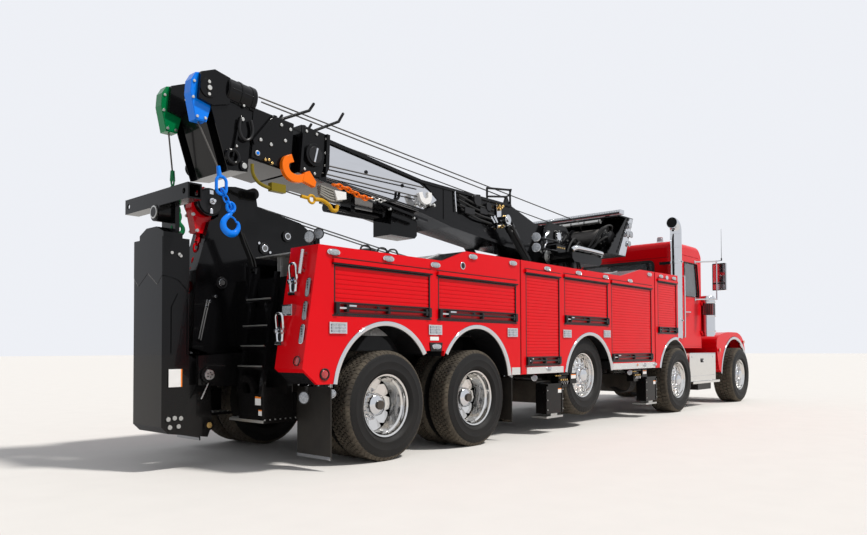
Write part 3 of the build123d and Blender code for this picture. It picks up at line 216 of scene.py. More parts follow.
# Bare metals: colour, lowest and highest roughness, grain stretch, grain scale, bump
metals = {
    "chrome": ((0.66, 0.67, 0.69), 0.02, 0.08, (1, 1, 1), 5.0, 0.0),
    "polishedAlloy": ((0.72, 0.71, 0.69), 0.05, 0.17, (1, 1, 1), 14.0, 0.02),
    "mirrorSteel": ((0.66, 0.67, 0.69), 0.03, 0.12, (0.15, 1, 1), 30.0, 0.01),
    "satinAlloy": ((0.56, 0.56, 0.56), 0.2, 0.36, (0.1, 1, 1), 70.0, 0.05),
    "zincSteel": ((0.52, 0.52, 0.5), 0.3, 0.5, (1, 1, 1), 60.0, 0.06),
    "castSteel": ((0.16, 0.16, 0.16), 0.45, 0.7, (1, 1, 1), 120.0, 0.25),
    "brass": ((0.72, 0.48, 0.18), 0.15, 0.3, (1, 1, 1), 60.0, 0.03),
    "ropeSteel": ((0.1, 0.095, 0.09), 0.35, 0.55, (1, 1, 1), 200.0, 0.2),
}


def makeMetal(name):
    colour, low, high, stretch, scale, bumpStrength = metals[name]
    material, tree, shader, coords = startMaterial(name)
    grain = placeGroup(tree, "grain", Vector=coords, Stretch=stretch, Scale=scale, Low=low, High=high)
    shade = tuple(0.9 * part for part in colour)
    base = mixColours(tree, grain["Value"], colour, shade)
    feed(tree, shader, {"Base Color": base, "Roughness": grain["Roughness"], "Metallic": 1.0})
    if bumpStrength > 0:
        feed(tree, shader, {"Normal": bumpNode(tree, grain["Value"], bumpStrength, 0.001)})
    return material


# Plastics, rubbers and cloth: colour, shade, roughness, noise scale, bump strength, dust
mattes = {
    "tyreRubber": ((0.004, 0.004, 0.0045), (0.008, 0.0078, 0.0076), 0.6, 40.0, 0.1, 0.015),
    "treadRubber": ((0.1, 0.085, 0.064), (0.022, 0.02, 0.018), 0.9, 26.0, 0.3, 0.14),
    "flapRubber": ((0.006, 0.006, 0.0065), (0.012, 0.0116, 0.011), 0.5, 30.0, 0.1, 0.06),
    "hoseRubber": ((0.014, 0.014, 0.014), (0.022, 0.022, 0.022), 0.5, 60.0, 0.1, 0.05),
    "trimPlastic": ((0.035, 0.035, 0.037), (0.028, 0.028, 0.03), 0.6, 220.0, 0.25, 0.0),
    "whitePlate": ((0.78, 0.78, 0.77), (0.7, 0.7, 0.69), 0.4, 8.0, 0.02, 0.05),
    "orangePlate": ((0.8, 0.22, 0.02), (0.74, 0.19, 0.02), 0.4, 8.0, 0.02, 0.05),
    # Near-black for dark seams, and painted shade inside holes, pipe mouths and louvres and behind grille
    # bars and hand holes
    "darkHole": ((0.004, 0.004, 0.004), (0.006, 0.006, 0.006), 0.8, 20.0, 0.0, 0.0),
    "greyWeb": ((0.3, 0.29, 0.26), (0.21, 0.2, 0.18), 0.88, 500.0, 0.5, 0.0),
    "blackLacquer": ((0.012, 0.012, 0.013), (0.009, 0.009, 0.01), 0.35, 50.0, 0.08, 0.05),
}


def makeMatte(name):
    colour, shade, roughness, scale, bumpStrength, dust = mattes[name]
    material, tree, shader, coords = startMaterial(name)
    fac = noiseNode(tree, coords, scale, 4.0)
    wide = noiseNode(tree, coords, 4.0, 3.0)
    blended = mathNode(tree, "MULTIPLY_ADD", wide, 0.6, mathNode(tree, "MULTIPLY", fac, 0.4))
    sharper = mathNode(tree, "MULTIPLY_ADD", mathNode(tree, "SUBTRACT", blended, 0.5), 3.0, 0.5, clamp=True)
    mask = placeGroup(tree, "dust", Vector=coords, Top=1.3, Amount=dust)["Mask"]
    feed(tree, shader, {"Base Color": mixColours(tree, mask, mixColours(tree, sharper, colour, shade),
                                                 (0.27, 0.215, 0.155)),
                        "Roughness": mathNode(tree, "MULTIPLY_ADD", fac, 0.15, roughness - 0.07,
                                              clamp=True), "Specular IOR Level": 0.22, })
    if bumpStrength > 0:
        feed(tree, shader, {"Normal": bumpNode(tree, fac, bumpStrength, 0.001)})
    return material


# Lamp lenses: colour and glow strength
lenses = {
    "clearLens": ((0.4, 0.43, 0.47), 0.0),
    "redLens": ((0.45, 0.004, 0.006), 0.05),
    "amberLens": ((0.85, 0.22, 0.01), 0.08),
}


def makeLens(name):
    # Moulded prisms behind a smooth clear face
    colour, glow = lenses[name]
    material, tree, shader, coords = startMaterial(name)
    cells = newNode(tree, "ShaderNodeTexVoronoi", {"Scale": 70.0, "Vector": coords}).outputs["Distance"]
    shade = tuple(0.45 * part for part in colour)
    feed(tree, shader, {
        "Base Color": mixColours(tree, cells, colour, shade),
        "Normal": bumpNode(tree, cells, 0.5, 0.003),
        "Roughness": mathNode(tree, "MULTIPLY_ADD", cells, 0.2, 0.1),
        "Coat Weight": 1.0, "Coat Roughness": 0.02,
        "Emission Color": (*colour, 1.0), "Emission Strength": glow,
    })
    return material


def makeGlass():
    material, tree, shader, coords = startMaterial("tintedGlass")
    haze = noiseNode(tree, coords, 1.5, 3.0)
    feed(tree, shader, {
        "Base Color": mixColours(tree, haze, (0.018, 0.024, 0.028), (0.03, 0.036, 0.04)),
        "Roughness": mathNode(tree, "MULTIPLY_ADD", haze, 0.04, 0.01),
        "Alpha": 0.62, "Coat Weight": 1.0, "Coat Roughness": 0.0,
    })
    return material


def makeTreadPlate(name, axes):
    # Tread plate on the plane of two axes
    bright, dark = (0.82, 0.82, 0.81), (0.5904, 0.5904, 0.5832)
    material, tree, shader, coords = startMaterial(name)
    parts = splitVector(tree, coords)
    height = placeGroup(tree, "bars", U=parts[axes[0]], V=parts[axes[1]], Pitch=0.026)["Height"]
    feed(tree, shader, {
        "Base Color": mixColours(tree, height, dark, bright),
        "Normal": bumpNode(tree, height, 0.9, 0.0025),
        "Roughness": placeGroup(tree, "grain", Vector=coords, Scale=30.0, Low=0.14, High=0.34)["Roughness"],
        "Metallic": 0.45,
    })
    return material


def copyPaint(source, name):
    # A paint's copy with its shader, its base colour and the three parts of its coordinates
    material = bpy.data.materials[source].copy()
    material.name = name
    tree = material.node_tree
    shader = tree.nodes["Principled BSDF"]
    parts = splitVector(tree, tree.nodes.new("ShaderNodeTexCoord").outputs["Object"])
    return material, tree, shader, shader.inputs["Base Color"].links[0].from_socket, parts


def makeArmPaint():
    # Black paint over a raised outer sleeve, whose lower edge is notched like an arrow
    material, tree, shader, _, parts = copyPaint("blackPaint", "armPaint")
    width = mathNode(tree, "ABSOLUTE", parts["Y"])
    slope = mathNode(tree, "MULTIPLY_ADD", width, -0.62, 1.725)
    rise = mathNode(tree, "MULTIPLY_ADD", width, 0.9, 1.463)
    above = mathNode(tree, "SUBTRACT", parts["Z"], mathNode(tree, "MAXIMUM", slope, rise))
    step = mathNode(tree, "MULTIPLY_ADD", above, 90.0, 0.5, clamp=True)
    ripple = shader.inputs["Normal"].links[0].from_socket
    bump = newNode(tree, "ShaderNodeBump", {"Height": step, "Distance": 0.012, "Normal": ripple})
    feed(tree, shader, {"Normal": bump.outputs["Normal"]})
    return material


def makeBodySkin():
    # Red on the outer skin; black liner inside the arches and behind the lockers
    material, tree, shader, red, parts = copyPaint("redPaint", "bodySkin")
    lean = mathNode(tree, "MULTIPLY_ADD", parts["Z"], 0.1618, -5.59)
    behind = mathNode(tree, "LESS_THAN", parts["X"], lean)
    side = mathNode(tree, "GREATER_THAN", mathNode(tree, "ABSOLUTE", parts["Y"]), 1.262)
    outside = mathNode(tree, "MAXIMUM", side, behind)
    feed(tree, shader, {"Base Color": mixColours(tree, outside, (0.012, 0.012, 0.013), red)})
    return material


def makeDoorSkin():
    # Red doors whose mirror housings, out past the cab, are chrome
    material, tree, shader, red, parts = copyPaint("redPaint", "doorSkin")
    far = mathNode(tree, "GREATER_THAN", mathNode(tree, "ABSOLUTE", parts["Y"]), 1.2)
    feed(tree, shader, {"Base Color": mixColours(tree, far, red, metals["chrome"][0]), "Metallic": far})
    return material


def makeBlockPaint():
    # Green on the left head block and blue on the right one
    material, tree, shader, blue, parts = copyPaint("bluePaint", "blockPaint")
    left = mathNode(tree, "GREATER_THAN", parts["Y"], 0.0)
    feed(tree, shader, {"Base Color": mixColours(tree, left, blue, (0.001, 0.18, 0.055))})
    return material


materials = {}
for paintName in paints:
    materials[paintName] = makePaint(paintName)
for metalName in metals:
    materials[metalName] = makeMetal(metalName)
for matteName in mattes:
    materials[matteName] = makeMatte(matteName)
for lensName in lenses:
    materials[lensName] = makeLens(lensName)
materials["tintedGlass"] = makeGlass()
materials["treadDeck"] = makeTreadPlate("treadDeck", "XY")
materials["treadSide"] = makeTreadPlate("treadSide", "XZ")
materials["treadBack"] = makeTreadPlate("treadBack", "YZ")
materials["bodySkin"] = makeBodySkin()
materials["doorSkin"] = makeDoorSkin()
materials["blockPaint"] = makeBlockPaint()
materials["armPaint"] = makeArmPaint()
print("finishes made", len(materials))

# Which finish each kept CAD node takes
nodeFinish = {
    "chassis_frame": "chassisPaint", "axles": "chassisPaint", "engine_and_shafts": "castSteel",
    "body_sides": "bodySkin", "shutters": "redPaint", "deck": "treadDeck", "tail_board": "blackPaint",
    "tail_mast": "blackPaint", "tail_block": "blockRedPaint", "underlift_arm": "armPaint",
    "underlift_extension": "blackPaint", "crossbar": "blackPaint", "turret_frame": "blackPaint",
    "winches": "blackLacquer", "light_bar": "blackLacquer", "boom_base": "blackPaint",
    "boom_stage_2": "blackPaint", "boom_stage_3": "blackPaint", "boom_blocks": "blockPaint",
    "lift_barrels": "blackPaint", "lift_rods": "chrome", "cab_shell": "redPaint",
    "cab_glass": "tintedGlass", "cab_interior": "trimPlastic", "hood": "redPaint",
    "marker_lamps": "chrome", "grille": "chrome", "headlamps": "chrome", "front_bumper": "chrome",
    "step_boxes": "polishedAlloy", "exhaust_stacks": "chrome", "air_cleaners": "chrome",
    "mudflaps": "flapRubber",
}
nodeStarts = {"door_glass": "tintedGlass", "door_": "doorSkin", "knuckle": "chassisPaint",
              "wheel": "tyreRubber", "outrigger_beam": "blackPaint", "outrigger_leg": "zincSteel"}


def finishFor(name):
    if name in nodeFinish:
        return nodeFinish[name]
    for start, finish in nodeStarts.items():
        if name.startswith(start):
            return finish
    return "blackPaint"


for name, node in nodes.items():
    node.data.materials.clear()
    node.data.materials.append(materials[finishFor(name)])


# Mesh building: every shape is a bmesh in metres, with X from the rearmost axle
def addFaces(shape, rings, closedRing, capped, slot, closedPath=False):
    # Joins a list of vertex rings with quads
    made = []
    count = len(rings[0])
    pairs = list(zip(rings, rings[1:]))
    if closedPath:
        pairs.append((rings[-1], rings[0]))
    for ringA, ringB in pairs:
        for i in range(count if closedRing else count - 1):
            j = (i + 1) % count
            made.append(shape.faces.new((ringA[i], ringA[j], ringB[j], ringB[i])))
    if capped:
        made.append(shape.faces.new(list(reversed(rings[0]))))
        made.append(shape.faces.new(rings[-1]))
    for face in made:
        face.material_index = slot
    return made


def placed(axis, a, b, c):
    # A point from its two flat coordinates and its place along the axis
    return {"x": (c, a, b), "y": (a, c, b), "z": (a, b, c)}[axis]


def circle(count):
    # Cosine and sine at even steps round a circle
    return [(cos(2 * pi * i / count), sin(2 * pi * i / count)) for i in range(count)]


def atY(y, points):
    return [(x, y, z) for x, z in points]


def addPrism(shape, points, axis, low, high, slot=0):
    # A flat outline pushed along one axis; points are (y, z), (x, z) or (x, y)
    rings = [[shape.verts.new(placed(axis, a, b, c)) for a, b in points] for c in (low, high)]
    return addFaces(shape, rings, True, True, slot)


def addBox(shape, x0, x1, y0, y1, z0, z1, slot=0):
    return addPrism(shape, [(x0, y0), (x1, y0), (x1, y1), (x0, y1)], "z", z0, z1, slot)


def sideDirections(run):
    up = Vector((0, 0, 1)) if abs(run.z) < 0.95 else Vector((1, 0, 0))
    side = run.cross(up).normalized()
    return side, side.cross(run).normalized()


def addRod(shape, a, b, radius, slot=0, sides=20, endRadius=None):
    a, b = Vector(a), Vector(b)
    side, top = sideDirections((b - a).normalized())
    rings = []
    for point, r in ((a, radius), (b, radius if endRadius is None else endRadius)):
        rings.append([shape.verts.new(point + side * r * c + top * r * s) for c, s in circle(sides)])
    return addFaces(shape, rings, True, True, slot)


def addPin(shape, x, y, z, length, radius, slot=0, sides=20):
    # A round pin along Y
    return addRod(shape, (x, y, z), (x, y + length, z), radius, slot, sides)


def addPins(shape, places, y, *pins):
    # Pins one in another at every (x, z) place; columns are length, radius, slot and sides
    for x, z in places:
        for pin in pins:
            addPin(shape, x, y, z, *pin)


def addLathe(shape, profile, centre, axis, sides=48, slot=0, closed=False):
    # Profile columns: radius and place along the axis; open ends lie on the axis or the profile is closed
    centre, axis = Vector(centre), Vector(axis).normalized()
    side, top = sideDirections(axis)
    rings = []
    for c, s in circle(sides):
        out = side * c + top * s
        rings.append([shape.verts.new(centre + out * r + axis * o) for r, o in profile])
    return addFaces(shape, rings, closed, False, slot, closedPath=True)


def smoothPath(points, steps=6):
    # A Catmull-Rom line through the points
    points = [Vector(p) for p in points]
    ends = [points[0] * 2 - points[1]] + points + [points[-1] * 2 - points[-2]]
    line = []
    for i in range(1, len(ends) - 2):
        p0, p1, p2, p3 = ends[i - 1:i + 3]
        for k in range(steps):
            t = k / steps
            line.append(0.5 * ((2 * p1) + (p2 - p0) * t + (2 * p0 - 5 * p1 + 4 * p2 - p3) * t * t
                               + (3 * p1 - p0 - 3 * p2 + p3) * t ** 3))
    line.append(points[-1])
    return line


def addTube(shape, points, radius, slot=0, sides=12, closed=False, flat=None):
    # A round or flat section carried along a line; flat gives half sizes across and up
    points = [Vector(p) for p in points]
    count = len(points)
    if flat is None:
        section = [(radius * c, radius * s) for c, s in circle(sides)]
    else:
        section = [(a * flat[0], b * flat[1]) for a, b in ((-1, -1), (1, -1), (1, 1), (-1, 1))]
    rings = []
    side = None
    for i, point in enumerate(points):
        before = points[i - 1] if i > 0 or closed else points[0]
        after = points[(i + 1) % count] if i < count - 1 or closed else points[-1]
        run = (after - before).normalized()
        if side is None:
            side, top = sideDirections(run)
        else:
            side = (side - run * side.dot(run)).normalized()
            top = side.cross(run).normalized()
        rings.append([shape.verts.new(point + side * a + top * b) for a, b in section])
    return addFaces(shape, rings, True, not closed, slot, closedPath=closed)


def addSmooth(shape, points, steps, *rest, **more):
    # A tube along the smooth line through the points
    return addTube(shape, smoothPath(points, steps), *rest, **more)


def addDome(shape, centre, axis, radius, height, slot=0, sides=24, steps=5, base=0.0):
    profile = [(radius, -base)] if base > 0 else []
    profile += [(radius * cos(pi / 2 * k / steps), height * sin(pi / 2 * k / steps)) for k in range(steps)]
    profile.append((0.0005, height))
    return addLathe(shape, profile, centre, axis, sides, slot)


def roundedRect(halfA, halfB, radius, count=5):
    points = []
    for ca, cb, start in ((1, 1, 0), (-1, 1, 90), (-1, -1, 180), (1, -1, 270)):
        for i in range(count + 1):
            t = radians(start + 90 * i / count)
            points.append((ca * (halfA - radius) + radius * cos(t),
                           cb * (halfB - radius) + radius * sin(t)))
    return points


def closeHoles(shape):
    edges = [e for e in shape.edges if len(e.link_faces) == 1]
    if edges:
        bmesh.ops.holes_fill(shape, edges=edges, sides=0)


def shadeShape(shape, angle):
    for face in shape.faces:
        face.smooth = True
    for edge in shape.edges:
        edge.smooth = len(edge.link_faces) == 2 and edge.calc_face_angle() < radians(angle)


def makePiece(name, shape, finishes, body, bothSides=False, bevel=0.0, angle=35, placed=False):
    # Turns a finished shape into a piece, which rides on a body if one is given
    closeHoles(shape)
    if bothSides:
        copied = bmesh.ops.duplicate(shape, geom=shape.verts[:] + shape.edges[:] + shape.faces[:])["geom"]
        for vert in copied:
            if isinstance(vert, bmesh.types.BMVert):
                vert.co.y = -vert.co.y
    if not placed:
        bmesh.ops.translate(shape, verts=shape.verts, vec=(-originX, 0, 0))
    bmesh.ops.recalc_face_normals(shape, faces=shape.faces)
    shadeShape(shape, angle)
    mesh = bpy.data.meshes.new(name)
    shape.to_mesh(mesh)
    shape.free()
    for finish in finishes:
        mesh.materials.append(materials[finish])
    piece = bpy.data.objects.new(name, mesh)
    bpy.context.scene.collection.objects.link(piece)
    if bevel > 0:
        trim = piece.modifiers.new("softEdges", "BEVEL")
        trim.width = bevel
        trim.segments = 2
        trim.limit_method = "ANGLE"
        trim.angle_limit = radians(35)
    if body:
        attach(piece, body)
    return piece


# Geometry Nodes trees that make what repeats
def startCopies(name, inputs):
    inputs = (("Geometry", "Geometry", None), *inputs, ("Finish", "Material", None))
    return startTree(name, "GeometryNodeTree", inputs, (("Geometry", "Geometry"),))


def endCopies(tree, given, out, points, instance, rotation=None):
    # Puts an instance on every point, makes them real and gives them the finish
    copies = newNode(tree, "GeometryNodeInstanceOnPoints", {"Points": points, "Instance": instance})
    if rotation:
        feed(tree, copies, {"Rotation": rotation})
    real = newNode(tree, "GeometryNodeRealizeInstances", {"Geometry": copies.outputs["Instances"]})
    finish = {"Geometry": real.outputs["Geometry"], "Material": given["Finish"]}
    coat = newNode(tree, "GeometryNodeSetMaterial", finish)
    feed(tree, out, {"Geometry": coat.outputs["Geometry"]})
    return tree


def combine(tree, **parts):
    return newNode(tree, "ShaderNodeCombineXYZ", parts).outputs[0]


def rotationFrom(tree, angles):
    return newNode(tree, "FunctionNodeEulerToRotation", {0: angles}).outputs[0]


def facingAlong(tree, axis, direction):
    return newNode(tree, "FunctionNodeAlignRotationToVector", {"Vector": direction}, axis=axis).outputs[0]


def makeRingTree():
    # Copies of the incoming mesh turned about the Y axis through the origin
    tree, given, out = startCopies("copiesAroundY", (("Count", "Int", 10),))
    line = newNode(tree, "GeometryNodeMeshLine", {"Count": given["Count"], "Offset": (0, 0, 0)})
    index = tree.nodes.new("GeometryNodeInputIndex").outputs[0]
    share = mathNode(tree, "DIVIDE", mathNode(tree, "MULTIPLY", index, 2 * pi), given["Count"])
    turn = rotationFrom(tree, combine(tree, Y=share))
    return endCopies(tree, given, out, line.outputs["Mesh"], given["Geometry"], turn)


def makeRowTree():
    # Copies of the incoming mesh in a row
    tree, given, out = startCopies("copiesInRow", (("Count", "Int", 5), ("Step", "Vector", (0.1, 0, 0))))
    line = newNode(tree, "GeometryNodeMeshLine", {"Count": given["Count"], "Offset": given["Step"]})
    return endCopies(tree, given, out, line.outputs["Mesh"], given["Geometry"])


def makeStudTree():
    # A bolt or rivet head on every incoming point, facing the way its attribute says
    sizes = (("Radius", "Float", 0.012), ("Top", "Float", 0.01), ("Height", "Float", 0.008),
             ("Sides", "Int", 6))
    tree, given, out = startCopies("studsOnPoints", sizes)
    labels = (("Radius Bottom", "Radius"), ("Radius Top", "Top"), ("Depth", "Height"),
              ("Vertices", "Sides"))
    head = newNode(tree, "GeometryNodeMeshCone", {label: given[source] for label, source in labels})
    facing = newNode(tree, "GeometryNodeInputNamedAttribute", {"Name": "facing"}, data_type="FLOAT_VECTOR")
    turn = facingAlong(tree, "Z", facing.outputs[0])
    return endCopies(tree, given, out, given["Geometry"], head.outputs["Mesh"], turn)


def makeChainTree():
    # Copies of one link along a line of points, each turned a quarter from the last
    tree, given, out = startCopies("linksOnLine", (("Pitch", "Float", 0.03), ("Turn", "Float", pi / 2)))
    curve = newNode(tree, "GeometryNodeMeshToCurve", {0: given["Geometry"]})
    spaced = newNode(tree, "GeometryNodeResampleCurve", mode="LENGTH")
    feed(tree, spaced, {"Curve": curve.outputs[0], "Length": given["Pitch"]})
    along = facingAlong(tree, "X", tree.nodes.new("GeometryNodeInputTangent").outputs[0])
    index = tree.nodes.new("GeometryNodeInputIndex").outputs[0]
    quarter = rotationFrom(tree, combine(tree, X=mathNode(tree, "MULTIPLY", index, given["Turn"])))
    both = newNode(tree, "FunctionNodeRotateRotation", rotation_space="LOCAL")
    feed(tree, both, {"Rotation": along, "Rotate By": quarter})
    length, width, wireRadius = (mathNode(tree, "MULTIPLY", given["Pitch"], share) for share in (1.45,
                                                                                                 0.85,
                                                                                                 0.16))
    loop = newNode(tree, "GeometryNodeCurvePrimitiveCircle", {"Resolution": 14, "Radius": 0.5})
    oval = {"Geometry": loop.outputs["Curve"], "Scale": combine(tree, X=length, Y=width, Z=1.0)}
    stretch = newNode(tree, "GeometryNodeTransform", oval)
    wire = newNode(tree, "GeometryNodeCurvePrimitiveCircle", {"Resolution": 6, "Radius": wireRadius})
    shape = {"Curve": stretch.outputs["Geometry"], "Profile Curve": wire.outputs["Curve"]}
    link = newNode(tree, "GeometryNodeCurveToMesh", shape)
    return endCopies(tree, given, out, spaced.outputs["Curve"], link.outputs["Mesh"], both.outputs[0])


trees = {"ring": makeRingTree(), "row": makeRowTree(), "studs": makeStudTree(), "chain": makeChainTree()}


def runTree(key, mesh, **values):
    # Puts a mesh through a tree and gives back the plain result as a shape
    holder = bpy.data.objects.new("holder", mesh)
    bpy.context.scene.collection.objects.link(holder)
    modifier = holder.modifiers.new("copies", "NODES")
    modifier.node_group = trees[key]
    for item in trees[key].interface.items_tree:
        if item.in_out == "INPUT" and item.name in values:
            modifier[item.identifier] = values[item.name]
    bpy.context.view_layer.update()
    graph = bpy.context.evaluated_depsgraph_get()
    made = bpy.data.meshes.new_from_object(holder.evaluated_get(graph))
    holder.modifiers.remove(modifier)
    bpy.data.objects.remove(holder)
    return made


def addMade(target, made, mesh, slot, move=(0, 0, 0)):
    # Adds what a tree made to a shape and removes both meshes
    firstVert, firstFace = len(target.verts), len(target.faces)
    target.from_mesh(made)
    target.verts.ensure_lookup_table()
    target.faces.ensure_lookup_table()
    for vert in target.verts[firstVert:]:
        vert.co += Vector(move)
    for face in target.faces[firstFace:]:
        face.material_index = slot
    bpy.data.meshes.remove(made)
    bpy.data.meshes.remove(mesh)


def copiesOf(shape, key, finish, slot, move, into, **values):
    # Repeats a shape with a tree and adds the copies to another shape
    mesh = bpy.data.meshes.new("oneCopy")
    closeHoles(shape)
    shape.to_mesh(mesh)
    shape.free()
    addMade(into, runTree(key, mesh, Finish=materials[finish], **values), mesh, slot, move)


def addStuds(target, points, facing, finish, slot=0, **sizes):
    # Bolt heads at the points
    mesh = bpy.data.meshes.new("studPoints")
    mesh.from_pydata(points, [], [])
    attribute = mesh.attributes.new("facing", "FLOAT_VECTOR", "POINT")
    attribute.data.foreach_set("vector", list(facing) * len(points))
    addMade(target, runTree("studs", mesh, Finish=materials[finish], **sizes), mesh, slot)


def addChain(target, points, pitch, finish, slot=0):
    mesh = bpy.data.meshes.new("chainLine")
    mesh.from_pydata(points, [(i, i + 1) for i in range(len(points) - 1)], [])
    addMade(target, runTree("chain", mesh, Finish=materials[finish], Pitch=pitch), mesh, slot)


# Camera at the photographer's place, and the plain studio
cameraSettings = {
    "place": (-4.7483, -5.9847, 1.0472),
    "right": (0.6604943, -0.7508234, -0.0033989),
    "up": (-0.0166747, -0.0191941, 0.9996767),
    "ahead": (0.7506459, 0.6602241, 0.0251973),
    "lens": 29.335,
    "shiftY": 0.0741,
}


def makeCamera():
    data = bpy.data.cameras.new("camera")
    camera = bpy.data.objects.new("camera", data)
    bpy.context.scene.collection.objects.link(camera)
    right, up, ahead = (Vector(cameraSettings[key]) for key in ("right", "up", "ahead"))
    place = Vector(cameraSettings["place"]) - Vector((originX, 0, 0))
    turn = Matrix((right, up, -ahead)).transposed().to_4x4()
    camera.matrix_world = Matrix.Translation(place) @ turn
    data.lens = cameraSettings["lens"]
    data.sensor_width = 36.0
    data.shift_y = cameraSettings["shiftY"]
    data.clip_end = 300.0
    bpy.context.scene.camera = camera


lightSettings = {
    "sky": (0.93, 0.95, 1.0), "skyStrength": 0.52, "skySeen": 0.92,
    "sunColour": (1.0, 0.97, 0.93), "sunStrength": 3.3, "sunAngle": 6.0, "sunFrom": (0.35, -0.75, 1.15),
    "floor": (0.72, 0.7, 0.67), "floorReach": 150.0, "floorHeight": -0.002,
}


def makeStudio():
    world = bpy.data.worlds.new("sky")
    bpy.context.scene.world = world
    world.use_nodes = True
    tree = world.node_tree
    path = tree.nodes.new("ShaderNodeLightPath").outputs
    bent = mathNode(tree, "MAXIMUM", path["Is Glossy Ray"], path["Is Transmission Ray"])
    seen = mathNode(tree, "MAXIMUM", path["Is Camera Ray"], bent)
    low, high = lightSettings["skyStrength"], lightSettings["skySeen"]
    sky = {"Color": (*lightSettings["sky"], 1), "Strength": mathNode(tree, "MULTIPLY_ADD", seen,
                                                                     high - low, low)}
    feed(tree, tree.nodes["Background"], sky)
    sunData = bpy.data.lights.new("sun", "SUN")
    sunData.energy = lightSettings["sunStrength"]
    sunData.color = lightSettings["sunColour"]
    sunData.angle = radians(lightSettings["sunAngle"])
    sun = bpy.data.objects.new("sun", sunData)
    sun.rotation_mode = "QUATERNION"
    sun.rotation_quaternion = Vector(lightSettings["sunFrom"]).to_track_quat("Z", "Y")
    bpy.context.scene.collection.objects.link(sun)
    mesh = bpy.data.meshes.new("floor")
    reach, height = lightSettings["floorReach"], lightSettings["floorHeight"]
    corners = [(x * reach, y * reach, height) for x, y in ((-1, -1), (1, -1), (1, 1), (-1, 1))]
    mesh.from_pydata(corners, [], [(0, 1, 2, 3)])
    floor = bpy.data.objects.new("floor", mesh)
    bpy.context.scene.collection.objects.link(floor)
    material, floorTree, shader, coords = startMaterial("paleFloor")
    colour = lightSettings["floor"]
    grit = noiseNode(floorTree, coords, 3.0, 6.0)
    base = mixColours(floorTree, grit, colour, tuple(0.93 * part for part in colour))
    feed(floorTree, shader, {"Base Color": base, "Roughness": 0.95})
    mesh.materials.append(material)


makeCamera()
makeStudio()
scene = bpy.context.scene
scene.view_settings.view_transform = "Standard"
print("camera and studio made")

# Wheels: tyres with real tread, dished wheels with hand holes, nuts and hub caps
wheelSettings = {
    "steerR": 0.53, "steerHalf": 0.1925, "driveR": 0.52, "driveHalf": 0.1425, "bead": 0.2895,
    "steerPitches": 48, "drivePitches": 62, "steerRibs": 4, "driveRibs": 6, "grooveDeep": 0.014,
    "lugDeep": 0.016, "flange": 0.2985, "handHoles": 10, "handHoleAt": 0.207, "handHoleR": 0.03,
    "nuts": 10, "nutCircle": 0.1425, "dualPitch": 0.335,
}


def tyreProfile(outer, half, ribs):
    # Radius, place across, and what the point is: wall, shoulder or tread
    bead = wheelSettings["bead"]
    wall = [(bead, half - 0.046, "wall"), (bead + 0.013, half - 0.045, "wall"),
            (bead + 0.028, half - 0.02, "wall"), (bead + 0.05, half - 0.007, "wall"),
            (bead + 0.056, half - 0.004, "wall"), (bead + 0.062, half - 0.006, "wall"),
            (bead + 0.095, half - 0.001, "wall"), (outer - 0.108, half, "wall"),
            (outer - 0.104, half + 0.0015, "wall"), (outer - 0.098, half - 0.001, "wall"),
            (outer - 0.06, half - 0.006, "wall"), (outer - 0.034, half - 0.012, "shoulder"),
            (outer - 0.01, half - 0.03, "shoulder")]
    reach = half - 0.042
    tread = []
    width = 2 * reach / ribs
    for i in range(ribs):
        right = reach - i * width
        left = right - width
        gap = 0.0055
        tread.append((outer, right - (gap if i > 0 else 0), "rib%d" % i))
        tread.append((outer, left + (gap if i < ribs - 1 else 0), "rib%d" % i))
        if i < ribs - 1:
            tread.append((outer - wheelSettings["grooveDeep"], left + gap * 0.5, "groove"))
            tread.append((outer - wheelSettings["grooveDeep"], left - gap * 0.5, "groove"))
    mirror = [(r, -o, kind) for r, o, kind in reversed(wall)]
    return wall + tread + mirror


def addTyre(shape, centre, kind, shift):
    # Each pitch has five stations round the tyre, and two of them are down in a cross groove
    ribs = wheelSettings[kind + "Ribs"]
    profile = tyreProfile(wheelSettings[kind + "R"], wheelSettings[kind + "Half"], ribs)
    pitches = wheelSettings[kind + "Pitches"]
    stations = ((0.0, 0), (0.05, 1), (0.2, 1), (0.25, 0), (0.62, 0))
    deep = wheelSettings["lugDeep"]
    rings = []
    for pitch in range(pitches):
        for share, low in stations:
            ring = []
            for r, o, part in profile:
                phase = 0.0
                drop = 0.0
                if part.startswith("rib"):
                    rib = int(part[3:])
                    phase = 0.5 * (rib % 2) + 0.12 * abs(rib - (ribs - 1) / 2)
                    edge = rib in (0, ribs - 1)
                    drop = deep * 0.55 if edge else deep * 0.8
                elif part == "shoulder":
                    drop = deep * 0.45
                    phase = 0.12 * (ribs - 1) / 2
                turn = 2 * pi * (pitch + share + phase + shift) / pitches
                radius = r - drop * low
                ring.append(shape.verts.new(centre + Vector((radius * cos(turn), o, radius * sin(turn)))))
            rings.append(ring)
    count = len(profile)
    for a, b in zip(rings, rings[1:] + rings[:1]):
        for i in range(count - 1):
            face = shape.faces.new((a[i], a[i + 1], b[i + 1], b[i]))
            face.material_index = 1 if "wall" not in (profile[i][2], profile[i + 1][2]) else 0
        face = shape.faces.new((a[count - 1], a[0], b[0], b[count - 1]))
        face.material_index = 0


def discHeight(profile, radius):
    for (r0, o0), (r1, o1) in zip(profile, profile[1:]):
        if r0 <= radius <= r1:
            return o0 + (o1 - o0) * (radius - r0) / (r1 - r0)
    return profile[-1][1] if radius > profile[-1][0] else profile[0][1]


